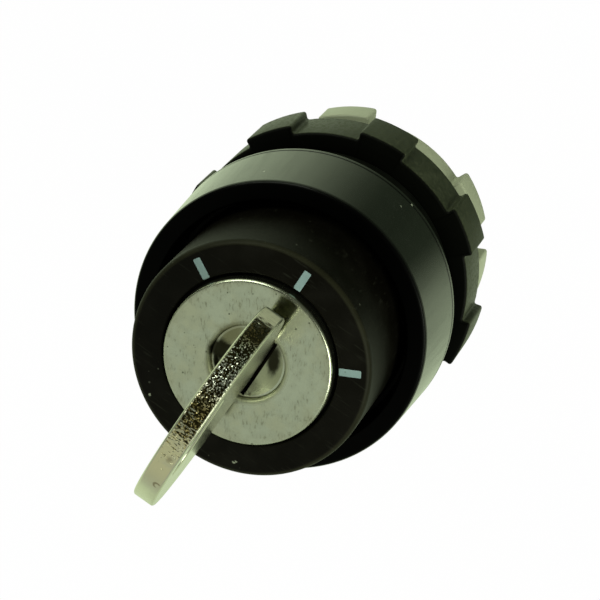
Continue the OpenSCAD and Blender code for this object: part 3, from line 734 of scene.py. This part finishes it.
def toothed(tip, root, places, span, edge, skip=(), turn=0.0):
    """The outline of a ring with teeth: arcs at the tip and root radii joined by radial flanks."""
    pitch = math.tau / places
    corners = []
    for k in range(places):
        middle = math.pi / 2.0 + turn + k * pitch
        if k in skip:
            for a in np.linspace(middle - span / 2.0, middle + span / 2.0, 7):
                corners.append((root * math.cos(a), root * math.sin(a), 0.0))
        else:
            a, b = middle - span / 2.0, middle + span / 2.0
            corners.append((root * math.cos(a), root * math.sin(a), edge * 0.8))
            for q in np.linspace(a, b, 9):
                corners.append((tip * math.cos(q), tip * math.sin(q), edge if q in (a, b) else 0.0))
            corners.append((root * math.cos(b), root * math.sin(b), edge * 0.8))
        for q in np.linspace(middle + span / 2.0, middle + pitch - span / 2.0, 9)[1:-1]:
            corners.append((root * math.cos(q), root * math.sin(q), 0.0))
    return rounded(corners, 4, 0.05 * MM)


def slab(name, loops, half, edge, lift, steps=4, pockets=(), depth=0.0):
    """A flat plate from closed loops: the outer one counter-clockwise, holes clockwise.

    Each loop's wall is a rounded section carried along the loop. The flat sides are the loops'
    polygons, less pockets, which are sunk by a depth. lift maps (u, v, w) to space.
    """
    side = edge_rows(edge, 0.04 * MM, half, -half, steps)
    points, faces, top, bottom = [], [], [], []
    start = 0
    for loop in loops:
        normals = outward(loop)
        rows = [np.column_stack([loop - normals * inset, np.full(len(loop), w)]) for inset, w in side]
        points += rows
        faces += strip_faces(len(side), len(loop), start).tolist()
        top += range(start, start + len(loop))
        bottom += range(start + (len(side) - 1) * len(loop), start + len(side) * len(loop))
        start += len(side) * len(loop)
    for up, ring in ((1.0, top), (-1.0, bottom)):
        outline = list(ring)
        flat = np.concatenate(points)
        shapes = []
        first = 0
        for loop in loops:
            shapes.append([Vector((*flat[k][:2], 0.0)) for k in outline[first:first + len(loop)]])
            first += len(loop)
        for pocket in pockets:
            shapes.append([Vector((*p, 0.0)) for p in pocket])
            rows = [np.column_stack([pocket, np.full(len(pocket), up * w)]) for w in (half, half - depth)]
            points += rows
            walls = strip_faces(2, len(pocket), start).tolist()
            faces += walls if up < 0.0 else [f[::-1] for f in walls]
            outline += range(start, start + len(pocket))
            floor = list(range(start + len(pocket), start + 2 * len(pocket)))
            faces.append(floor if up < 0.0 else floor[::-1])
            start += 2 * len(pocket)
        for tri in tessellate_polygon(shapes):
            face = [outline[k] for k in tri]
            faces.append(face if up > 0.0 else face[::-1])
    flat = np.concatenate(points)
    u, v, w = lift(flat[:, 0], flat[:, 1], flat[:, 2])
    return make(name, np.stack([u, v, w], axis=1), faces)


def coil(name, low, high, wire, windings):
    """A helical spring in the box from low to high: the wire's circle carried along a helix on +Z.

    A point lies at the angle b round the wire. The wire's middle turns by the angle a round the
    spring's axis while it climbs evenly from the foot of the box to its top.
    """
    sides = 8
    steps = 24
    last = windings * steps
    i, j = np.meshgrid(np.arange(last + 1), np.arange(sides), indexing="ij")
    a = math.tau * i / steps
    b = math.tau * j / sides
    middle = (low + high) / 2.0
    reach = (high.x - low.x - wire) / 2.0 + wire / 2.0 * np.cos(b)
    rise = (high.z - low.z - wire) * i / last
    x = middle.x + reach * np.cos(a)
    y = middle.y + reach * np.sin(a)
    z = low.z + wire / 2.0 + rise + wire / 2.0 * np.sin(b)
    faces = strip_faces(last + 1, sides).tolist()
    faces.append(list(range(sides))[::-1])
    faces.append(list(range(last * sides, (last + 1) * sides)))
    return make(name, np.stack([x, y, z], axis=-1).reshape(-1, 3), faces)


def dress(piece, body, node, material):
    """Let a new piece ride on a body, stand for a CAD node and wear a material."""
    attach(piece, body)
    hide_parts(node)
    piece.data.materials.append(material)


def wear(node, material):
    """Put a material on a CAD node that keeps its own mesh."""
    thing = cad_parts[node]
    if not thing.material_slots:
        raise RuntimeError("no material slot on " + node)
    for slot in thing.material_slots:
        slot.material = material


def span(node):
    """The lowest and highest z of a CAD node."""
    low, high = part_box(node)
    return low.z, high.z


# Operators, one for each group of pieces

class KEYSWITCH_OT_bezel(bpy.types.Operator):
    """Build the bezel as a turned surface with soft edges and a fine groove over its rear edge"""
    bl_idname = "keyswitch.bezel"
    bl_label = "Build bezel"

    def execute(self, context):
        s = context.scene.key_switch.bezel
        low, high = span("bezel")
        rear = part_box("bezel")[1].x
        bore = context.scene.key_switch.body.flange + 0.15 * MM
        lip = high - s.lip
        slope = (rear - s.front) / (high - low)
        groove = low + s.groove
        side = rear - slope * s.groove
        sunk = side - 0.12 * MM
        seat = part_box("front_collar")[0].z + s.lip - 0.7 * MM
        step = s.mouth - 0.4 * MM
        section = rounded([
            (bore, low, 0.1 * MM), (rear, low, 0.12 * MM),
            (side, groove, 0.05 * MM), (sunk, groove + 0.03 * MM, 0.0),
            (sunk, groove + 0.18 * MM, 0.0), (side - slope * 0.2 * MM, groove + 0.2 * MM, 0.05 * MM),
            (s.front, high, s.edge), (s.mouth, high, 0.22 * MM),
            (s.mouth, lip, 0.1 * MM), (step, lip - 0.4 * MM, 0.1 * MM),
            (step, seat, 0.0), (bore, seat, 0.0)])
        piece = turned("bezel_shell", section, 256)
        # The bezel's front face is painted darker, a painted shade
        material = plastic("bezel_moulding", tuple(s.tint), rough=0.4, gloss=0.04, grain=7.0,
                           grain_height=0.25, dust=0.05, dust_tint=(0.06, 0.066, 0.05), face=high,
                           skin=0.14, flecks=BEZEL_FLECKS)
        dress(piece, "housing", "bezel", material)
        return {"FINISHED"}


class KEYSWITCH_OT_collar(bpy.types.Operator):
    """Build the raised collar and the three inlaid position marks"""
    bl_idname = "keyswitch.collar"
    bl_label = "Build collar and marks"

    def execute(self, context):
        s = context.scene.key_switch.collar
        lock = context.scene.key_switch.lock
        low, high = span("front_collar")
        flange = context.scene.key_switch.body.flange
        cavity = context.scene.key_switch.body.cavity
        head_foot = span("lock_housing")[1] - lock.head
        seat = span("lock_nut")[1]
        hole = lock.barrel + 0.05 * MM
        section = rounded([
            (s.hole, high, 0.18 * MM), (s.hole, head_foot, 0.0), (hole, head_foot, 0.0),
            (hole, seat, 0.0), (cavity, seat, 0.0), (cavity, low, 0.0),
            (flange, low, 0.0), (flange, low + s.foot, 0.1 * MM), (s.radius, low + s.foot, 0.3 * MM),
            (s.radius, high, s.edge)])
        collar = turned("collar_shell", section, 256)
        flecks = [(x, y, high / MM) for x, y in COLLAR_FLECKS]
        # The collar's front edge is painted paler, a painted highlight
        material = plastic("collar_moulding", tuple(s.tint), rough=0.46, gloss=0.09, grain=5.0,
                           grain_height=0.5, dust=0.06, dust_tint=(0.16, 0.17, 0.13),
                           highlit_edge=(s.radius, high), flecks=flecks)
        dress(collar, "housing", "front_collar", material)
        ink = plastic("mark_inlay", tuple(s.mark_tint), rough=0.5, gloss=0.4, grain=4.0, grain_height=0.5,
                      dust=0.1, dust_tint=(0.09, 0.12, 0.1))
        w, h = s.mark_width / 2.0, s.mark_length / 2.0
        corner = s.mark_width * 0.18
        bar = rounded([(w, h, corner), (-w, h, corner), (-w, -h, corner), (w, -h, corner)], 6, 0.04 * MM)
        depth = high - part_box("position_marks")[0].z
        half = (depth + s.proud) / 2.0
        middle = high + s.proud - half
        for k in (1, 2, 3):
            turn = (2 - k) * s.mark_step

            def lift(u, v, w, turn=turn):
                """Carry the bar out to its place and turn it round the axis."""
                v = v + s.mark_place
                x = u * math.cos(turn) - v * math.sin(turn)
                y = u * math.sin(turn) + v * math.cos(turn)
                return x, y, w + middle

            mark = slab("position_mark_%d" % k, [bar], half, 0.07 * MM, lift, steps=3)
            dress(mark, "housing", "position_marks", ink)
        return {"FINISHED"}


class KEYSWITCH_OT_lock(bpy.types.Operator):
    """Build the lock's shell with its dished head, and dress the plug"""
    bl_idname = "keyswitch.lock"
    bl_label = "Build lock"

    def execute(self, context):
        s = context.scene.key_switch.lock
        low, high = span("lock_housing")
        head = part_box("lock_housing")[1].x
        head_foot = high - s.head
        shoulder = high - s.nose_foot
        section = rounded([
            (s.nose, high, s.dish - s.nose), (s.nose, shoulder, 0.0), (s.bore, shoulder, 0.0),
            (s.bore, low, 0.1 * MM),
            (s.barrel, low, 0.4 * MM), (s.barrel, head_foot, 0.0), (head, head_foot, 0.15 * MM),
            (head, high, s.edge)], 6)
        piece = turned("lock_shell", section)
        dress(piece, "housing", "lock_housing", brushed("lock_nickel", tuple(s.tint)))

        def painted_slot_shade(shader):
            """Painted black shade in the key slot, under the surface of the hollow."""
            curve = s.bowl_rim ** 2 / s.bowl / MM
            deepest = (high - s.wall - s.bowl) / MM
            floor = shader.radius * shader.radius / curve + deepest
            return 1.0 - (shader.z - floor).step(-0.2, -0.06)

        wear("lock_plug", metal("plug_nickel", shaded(s.tint, 0.95), rough=0.13, painted_slot_shade=painted_slot_shade))
        return {"FINISHED"}


class KEYSWITCH_OT_key(bpy.types.Operator):
    """Build the flat key: bow with a ring hole, shoulders, and a blade with wafer cuts and grooves"""
    bl_idname = "keyswitch.key"
    bl_label = "Build key"

    def execute(self, context):
        s = context.scene.key_switch.key
        tip, top = span("key")
        centre = top - s.bow
        shoulder = centre - s.bow - s.shoulder_gap
        outer = self.outline(s, tip, centre, shoulder)
        round_end = s.hole_width / 2.0
        hole_z = top - s.hole_wall - round_end
        reach = (s.hole_length - s.hole_width) / 2.0
        arc = np.linspace(-math.pi / 2.0, math.pi / 2.0, 13)
        right = np.column_stack([reach + np.cos(arc) * round_end, hole_z + np.sin(arc) * round_end])
        left = np.column_stack([-right[:, 0], right[:, 1]])[::-1]
        hole = divided(np.concatenate([right, left]), 1.0 * MM)[::-1]
        groove_top = tip + (shoulder - tip) * 0.92
        groove_foot = tip + 0.8 * MM
        wide = 0.6 * MM
        groove = rounded([(wide, groove_foot, 0.25 * MM), (wide, groove_top, 0.5 * MM),
                          (-wide, groove_top, 0.5 * MM), (-wide, groove_foot, 0.25 * MM)])[::-1]
        piece = slab("key_blank", [outer, hole], s.thickness / 2.0, s.edge, lambda u, v, w: (w, u, v),
                     pockets=[groove], depth=0.3 * MM)
        dress(piece, "key", "key", key_metal("key_plating", tuple(s.tint), centre, s.bow))
        return {"FINISHED"}

    def outline(self, s, tip, centre, shoulder):
        """The key's outline: from the tip up one edge and over the bow, then down the other edge.

        Each wafer cut is an arc whose middle lies a little outside the edge, so that the cuts
        differ in depth. The bow is an arc from the neck to its top.
        """
        tip_half = 1.35 * MM
        tip_length = 2.0 * MM
        farthest = 0.35 * MM
        step = 0.15 * MM
        neck_foot = (s.shoulder, shoulder + 1.6 * MM)
        flare = (s.shoulder + 2.6 * MM, shoulder + 4.6 * MM)
        neck = self.meet(s, centre, neck_foot, flare)
        start = math.atan2(neck[1] - centre, neck[0])
        halves = []
        for side in (1, -1):
            points = [(tip_half, tip), (s.blade, tip + tip_length)]
            for i in range(s.cuts):
                z = tip + s.cut_first + i * s.cut_pitch
                out = farthest - step * ((i * 2 + side) % 3)
                half = math.acos(min(1.0, out / s.cut_radius))
                for t in np.linspace(-half, half, 9):
                    u = s.blade + out - s.cut_radius * math.cos(t)
                    points.append((u, z + s.cut_radius * math.sin(t)))
            points += [(s.blade, shoulder), (s.shoulder, shoulder), neck_foot]
            for t in np.linspace(start, math.pi / 2.0, 90)[:-1]:
                points.append((s.bow * math.cos(t), centre + s.bow * math.sin(t)))
            halves.append(np.array(points))
        right, left = halves
        left = left[::-1] * (-1.0, 1.0)
        outer = np.concatenate([right, [(0.0, centre + s.bow)], left])
        return divided(outer, 0.8 * MM)

    def meet(self, s, centre, low, high):
        """Where the neck's slanted side runs into the bow's circle.

        It is the first point, from low towards high, that is no further from the bow's centre
        than the bow's radius.
        """
        for t in np.linspace(0.0, 1.0, 400):
            u = low[0] + (high[0] - low[0]) * t
            v = low[1] + (high[1] - low[1]) * t
            if math.hypot(u, v - centre) <= s.bow:
                return u, v
        raise RuntimeError("the key's neck misses the bow")


class KEYSWITCH_OT_body(bpy.types.Operator):
    """Build the body with its helical thread and keyway, and the rubber gasket"""
    bl_idname = "keyswitch.body"
    bl_label = "Build body and gasket"

    def execute(self, context):
        s = context.scene.key_switch.body
        low, high = span("body")
        seat = s.seat
        outer = [(s.flange, seat, 0.15 * MM), (s.flange, high, 0.0), (s.cavity, high, 0.0),
                 (s.cavity, s.deck_top, 0.3 * MM), (s.hub_hole, s.deck_top, 0.1 * MM),
                 (s.hub_hole, s.deck_foot, 0.1 * MM), (s.ledge, s.deck_foot, 0.2 * MM),
                 (s.ledge, s.plate_top, 0.0), (s.bore, s.plate_top, 0.0),
                 (s.bore, low, 0.25 * MM), (s.tail, low, 0.3 * MM),
                 (s.tail, s.thread_foot, 0.1 * MM)]
        head = rounded(outer)
        zs = np.arange(s.thread_foot + 0.05 * MM, seat - 0.02 * MM, 0.09 * MM)
        barrel = np.column_stack([np.full(len(zs), s.crest), zs])
        thread_root = s.crest - s.depth
        barrel = np.concatenate([[(thread_root, s.thread_foot)], barrel, [(thread_root, seat)]])
        section = np.concatenate([head, barrel])
        edge = math.asin(s.keyway_width / 2.0 / s.crest)
        spots = np.linspace(0.0, math.tau, 216, endpoint=False)
        # The angles near the keyway's two walls give way to a close pair of angles at each wall
        room = 0.012
        wall = 0.0015
        away = np.abs((spots - math.pi / 2.0 + math.pi) % math.tau - math.pi)
        spots = spots[np.abs(away - edge) > room]
        ends = np.array([-edge - wall, -edge, edge, edge + wall]) + math.pi / 2.0
        spots = np.sort(np.concatenate([spots, ends]))

        def radius(r, z, a):
            """The barrel's radius: a groove that winds once per pitch and fades at both ends.

            The keyway is a flat cut across it.
            """
            on = np.abs(r - s.crest) < 1e-7
            phase = (z / s.pitch - a / math.tau) % 1.0
            tooth = np.clip(np.abs(phase - 0.5) * 2.6 - 0.3, 0.0, 1.0)
            fade = np.clip((seat - z) / (0.8 * MM), 0.0, 1.0)
            fade = fade * np.clip((z - s.thread_foot) / (0.9 * MM), 0.0, 1.0)
            cut = np.maximum(tooth, 1.0 - fade)
            shaped = np.where(on, s.crest - s.depth * cut, r)
            inside = np.abs(a - math.pi / 2.0) <= edge + 1e-6
            slot = (s.crest - s.keyway_depth) / np.maximum(np.cos(a - math.pi / 2.0), 0.5)
            return np.where(on & inside, np.minimum(shaped, slot), shaped)

        piece = turned("body_moulding", section, radius=radius, spots=spots)
        dress(piece, "housing", "body", plastic("body_plastic", tuple(s.tint), rough=0.4, gloss=0.2))
        base, top = span("panel_gasket")
        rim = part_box("panel_gasket")[1].x
        inner = s.crest + 0.05 * MM
        ring = rounded([(inner, top, 0.15 * MM), (inner, base, 0.15 * MM), (inner + 0.9 * MM, base, 0.0),
                        (inner + 1.25 * MM, base + 0.35 * MM, 0.15 * MM), (inner + 1.6 * MM, base, 0.0),
                        (rim, base, 0.45 * MM), (rim, top, 0.3 * MM)])
        gasket = turned("gasket_ring", ring)
        dress(gasket, "housing", "panel_gasket", rubber("gasket_rubber", shaded(s.tint, 0.4)))
        return {"FINISHED"}


class KEYSWITCH_OT_nut(bpy.types.Operator):
    """Build the fixing nut with its rounded tabs and bevelled bore"""
    bl_idname = "keyswitch.nut"
    bl_label = "Build fixing nut"

    def execute(self, context):
        s = context.scene.key_switch.nut
        low, high = span("fixing_nut")
        outline = toothed(s.tip, s.root, s.tabs, s.span, s.edge, turn=s.turn)
        outline = divided(outline, 0.7 * MM)
        piece = banded("nut_ring", outline, s.edge, low, high, s.bore, (0.5 * MM, 0.4 * MM))
        # The nut's front face is painted darker, a painted shade
        material = plastic("nut_plastic", tuple(s.tint), rough=0.5, gloss=0.08, grain=4.0,
                           grain_height=1.0, dust=0.24, dust_tint=(0.1, 0.11, 0.07), face=high,
                           skin=0.35, share=0.45, dusty=0.45)
        dress(piece, "nut", "fixing_nut", material)
        return {"FINISHED"}


class KEYSWITCH_OT_ring(bpy.types.Operator):
    """Build the coupling ring with its lugs, one of them missing"""
    bl_idname = "keyswitch.ring"
    bl_label = "Build coupling ring"

    def execute(self, context):
        s = context.scene.key_switch.ring
        low, high = span("coupling_ring")
        outline = toothed(s.tip, s.root, s.places, s.span, s.edge, skip=(0,))
        outline = divided(outline, 0.7 * MM)
        piece = banded("coupling_lugs", outline, s.edge * 0.7, low, high, s.bore, (0.15 * MM, 0.15 * MM))
        dress(piece, "ring", "coupling_ring", acetal("ring_plastic", tuple(s.tint)))
        return {"FINISHED"}


class KEYSWITCH_OT_inside(bpy.types.Operator):
    """Dress the CAD nodes of the mechanism inside, and build the springs of the push rods"""
    bl_idname = "keyswitch.inside"
    bl_label = "Dress the mechanism"

    def execute(self, context):
        steel = metal("spring_steel", (0.42, 0.43, 0.42), rough=0.28, turned=False)
        zinc = metal("zinc_steel", (0.55, 0.57, 0.55), rough=0.34)
        brass = metal("plain_brass", (0.55, 0.40, 0.16), rough=0.3, turned=False)
        seal = rubber("seal_rubber", (0.015, 0.015, 0.014))
        for material, nodes in ((steel, ("wafer_springs", "plug_clip", "plate_clip", "ring_clip")),
                                (zinc, ("cam_washer", "cam_screw")),
                                (brass, ("wafers", "lock_nut")),
                                (seal, ("collar_seal", "lock_seal"))):
            for node in nodes:
                wear(node, material)
        for node, name, tint in (("cam", "cam_acetal", (0.62, 0.58, 0.43)),
                                 ("push_rod_left", "rod_acetal_left", (0.70, 0.66, 0.52)),
                                 ("push_rod_right", "rod_acetal_right", (0.70, 0.66, 0.52)),
                                 ("guide_plate", "plate_acetal", (0.64, 0.61, 0.47))):
            wear(node, acetal(name, tint))
        for side in ("left", "right"):
            self.rod_coil(side, steel)
        return {"FINISHED"}

    def rod_coil(self, side, material):
        """A push rod's spring in the CAD spring's box: its foot stays on the guide plate."""
        node = "rod_spring_" + side
        low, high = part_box(node)
        piece = coil("rod_coil_" + side, low, high, ROD_WIRE, ROD_WINDINGS)
        piece.data.materials.append(material)
        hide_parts(node)
        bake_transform(piece)


class KEYSWITCH_OT_stage(bpy.types.Operator):
    """Set up the floor, the lamps, the sky and the camera"""
    bl_idname = "keyswitch.stage"
    bl_label = "Set up stage"

    def execute(self, context):
        s = context.scene.key_switch.stage
        scene = context.scene
        self.floor(s)
        self.sky(scene, s)
        for name, place, size in LAMPS:
            self.lamp("soft_" + name, place, size, getattr(s, name))
        self.camera(scene, s)
        scene.view_settings.view_transform = "Standard"
        return {"FINISHED"}

    def floor(self, s):
        """A pale sheet under the switch, white to the camera with a faint shadow.

        In reflections it shows painted shade: dark from 8 to 36 degrees from +Y towards +X, and pale
        round that, as the room is in the photo.
        """
        z = CAD_BOX[0].z
        n = 24
        grid = np.linspace(-s.floor, s.floor, n)
        x, y = np.meshgrid(grid, grid, indexing="ij")
        points = np.stack([x, y, np.full_like(x, z)], axis=-1).reshape(-1, 3)
        i, j = np.meshgrid(np.arange(n - 1), np.arange(n - 1), indexing="ij")
        a = (i * n + j).ravel()
        mesh = bpy.data.meshes.new("floor")
        mesh.from_pydata(points.tolist(), [], np.stack([a, a + n, a + n + 1, a + 1], axis=1).tolist())
        floor = bpy.data.objects.new("floor", mesh)
        bpy.context.scene.collection.objects.link(floor)
        t = Shader("floor_paper")
        paper = t.node("ShaderNodeBsdfDiffuse", {}, {"Color": (0.82, 0.82, 0.81, 1.0)})
        glow = t.node("ShaderNodeEmission", {}, {"Color": WHITE, "Strength": 1.0})
        turn = t.polar(t.x, t.y)
        # Painted shade for reflections: dark from 8 to 36 degrees from +Y towards +X
        shade = turn.step(-58.0, 8.0) * (1.0 - turn.step(36.0, 70.0) * 0.85) * -0.83 + 1.0
        tone = t.mix(shade.power(1.25), (0.0, 0.016, 0.0), (0.84, 1.0, 0.66))
        image = t.node("ShaderNodeEmission", {}, {"Color": tone, "Strength": s.mirrored})
        path = t.node("ShaderNodeLightPath").socket.node
        seen = Value(t, path.outputs["Is Camera Ray"])
        glossy = Value(t, path.outputs["Is Glossy Ray"])
        mirrored = glossy.most(Value(t, path.outputs["Is Transmission Ray"]))
        both = t.node("ShaderNodeMixShader", {}, {0: seen * 0.99, 1: paper, 2: glow})
        both = t.node("ShaderNodeMixShader", {}, {0: mirrored, 1: both, 2: image})
        t.tree.links.new(both.socket, t.output.inputs["Surface"])
        mesh.materials.append(t.material)

    def sky(self, scene, s):
        """A dim sky for light, and white where the camera sees past the floor."""
        world = bpy.data.worlds.new("studio")
        scene.world = world
        world.use_nodes = True
        tree = world.node_tree
        tree.nodes.clear()
        path = tree.nodes.new("ShaderNodeLightPath")
        dim = tree.nodes.new("ShaderNodeBackground")
        dim.inputs["Color"].default_value = (*LIGHT_TONE, 1.0)
        dim.inputs["Strength"].default_value = s.sky
        white = tree.nodes.new("ShaderNodeBackground")
        white.inputs["Strength"].default_value = 1.0
        white.inputs["Color"].default_value = WHITE
        mix = tree.nodes.new("ShaderNodeMixShader")
        out = tree.nodes.new("ShaderNodeOutputWorld")
        tree.links.new(path.outputs["Is Camera Ray"], mix.inputs[0])
        tree.links.new(dim.outputs[0], mix.inputs[1])
        tree.links.new(white.outputs[0], mix.inputs[2])
        tree.links.new(mix.outputs[0], out.inputs["Surface"])

    def lamp(self, name, place, size, power):
        """A rectangular softbox that faces the switch."""
        light = bpy.data.lights.new(name, "AREA")
        light.shape = "RECTANGLE"
        light.size, light.size_y = size
        light.energy = power
        light.color = LIGHT_TONE
        lamp = bpy.data.objects.new(name, light)
        away = Vector(place) - Vector(LAMP_TARGET)
        turn = away.to_track_quat("Z", "Y").to_matrix().to_4x4()
        lamp.matrix_world = Matrix.Translation(place) @ turn
        bpy.context.scene.collection.objects.link(lamp)

    def camera(self, scene, s):
        """A long lens at the photo's viewing angle, rolled round its own view."""
        data = bpy.data.cameras.new("photo_camera")
        data.lens = s.lens
        data.sensor_width = 36.0
        data.clip_start = 0.01
        camera = bpy.data.objects.new("photo_camera", data)
        place = Vector(s.camera)
        back = (place - Vector(s.target)).normalized()
        level = Vector((0.0, 0.0, 1.0)).cross(back).normalized()
        upright = back.cross(level)
        up = upright * math.cos(s.roll) - level * math.sin(s.roll)
        right = up.cross(back)
        turn = Matrix((right, up, back)).transposed().to_4x4()
        camera.matrix_world = Matrix.Translation(place) @ turn
        scene.collection.objects.link(camera)
        scene.camera = camera


OPERATORS = [KEYSWITCH_OT_bezel, KEYSWITCH_OT_collar, KEYSWITCH_OT_lock, KEYSWITCH_OT_key,
             KEYSWITCH_OT_body, KEYSWITCH_OT_nut, KEYSWITCH_OT_ring, KEYSWITCH_OT_inside,
             KEYSWITCH_OT_stage]


class KEYSWITCH_PT_panel(bpy.types.Panel):
    """Buttons for every group, with its settings"""
    bl_label = "Key switch"
    bl_idname = "KEYSWITCH_PT_panel"
    bl_space_type = "VIEW_3D"
    bl_region_type = "UI"
    bl_category = "Key switch"

    def draw(self, context):
        settings = context.scene.key_switch
        for operator in OPERATORS:
            self.layout.operator(operator.bl_idname)
        for group in GROUPS:
            box = self.layout.box()
            box.label(text=group.capitalize())
            for name in GROUPS[group].__annotations__:
                box.prop(getattr(settings, group), name)


CLASSES = [*GROUPS.values(), SwitchSettings, *OPERATORS, KEYSWITCH_PT_panel]


def register():
    """Register every class and the scene's settings."""
    for cls in CLASSES:
        bpy.utils.register_class(cls)
    bpy.types.Scene.key_switch = bpy.props.PointerProperty(type=SwitchSettings)


def unregister():
    """Take the settings and the classes away again."""
    del bpy.types.Scene.key_switch
    for cls in reversed(CLASSES):
        bpy.utils.unregister_class(cls)


def main():
    """Build every group in order."""
    register()
    for operator in OPERATORS:
        group, name = operator.bl_idname.split(".")
        result = getattr(getattr(bpy.ops, group), name)()
        if result != {"FINISHED"}:
            raise RuntimeError(operator.bl_idname + " didn't finish")


if __name__ == "__main__":
    main()
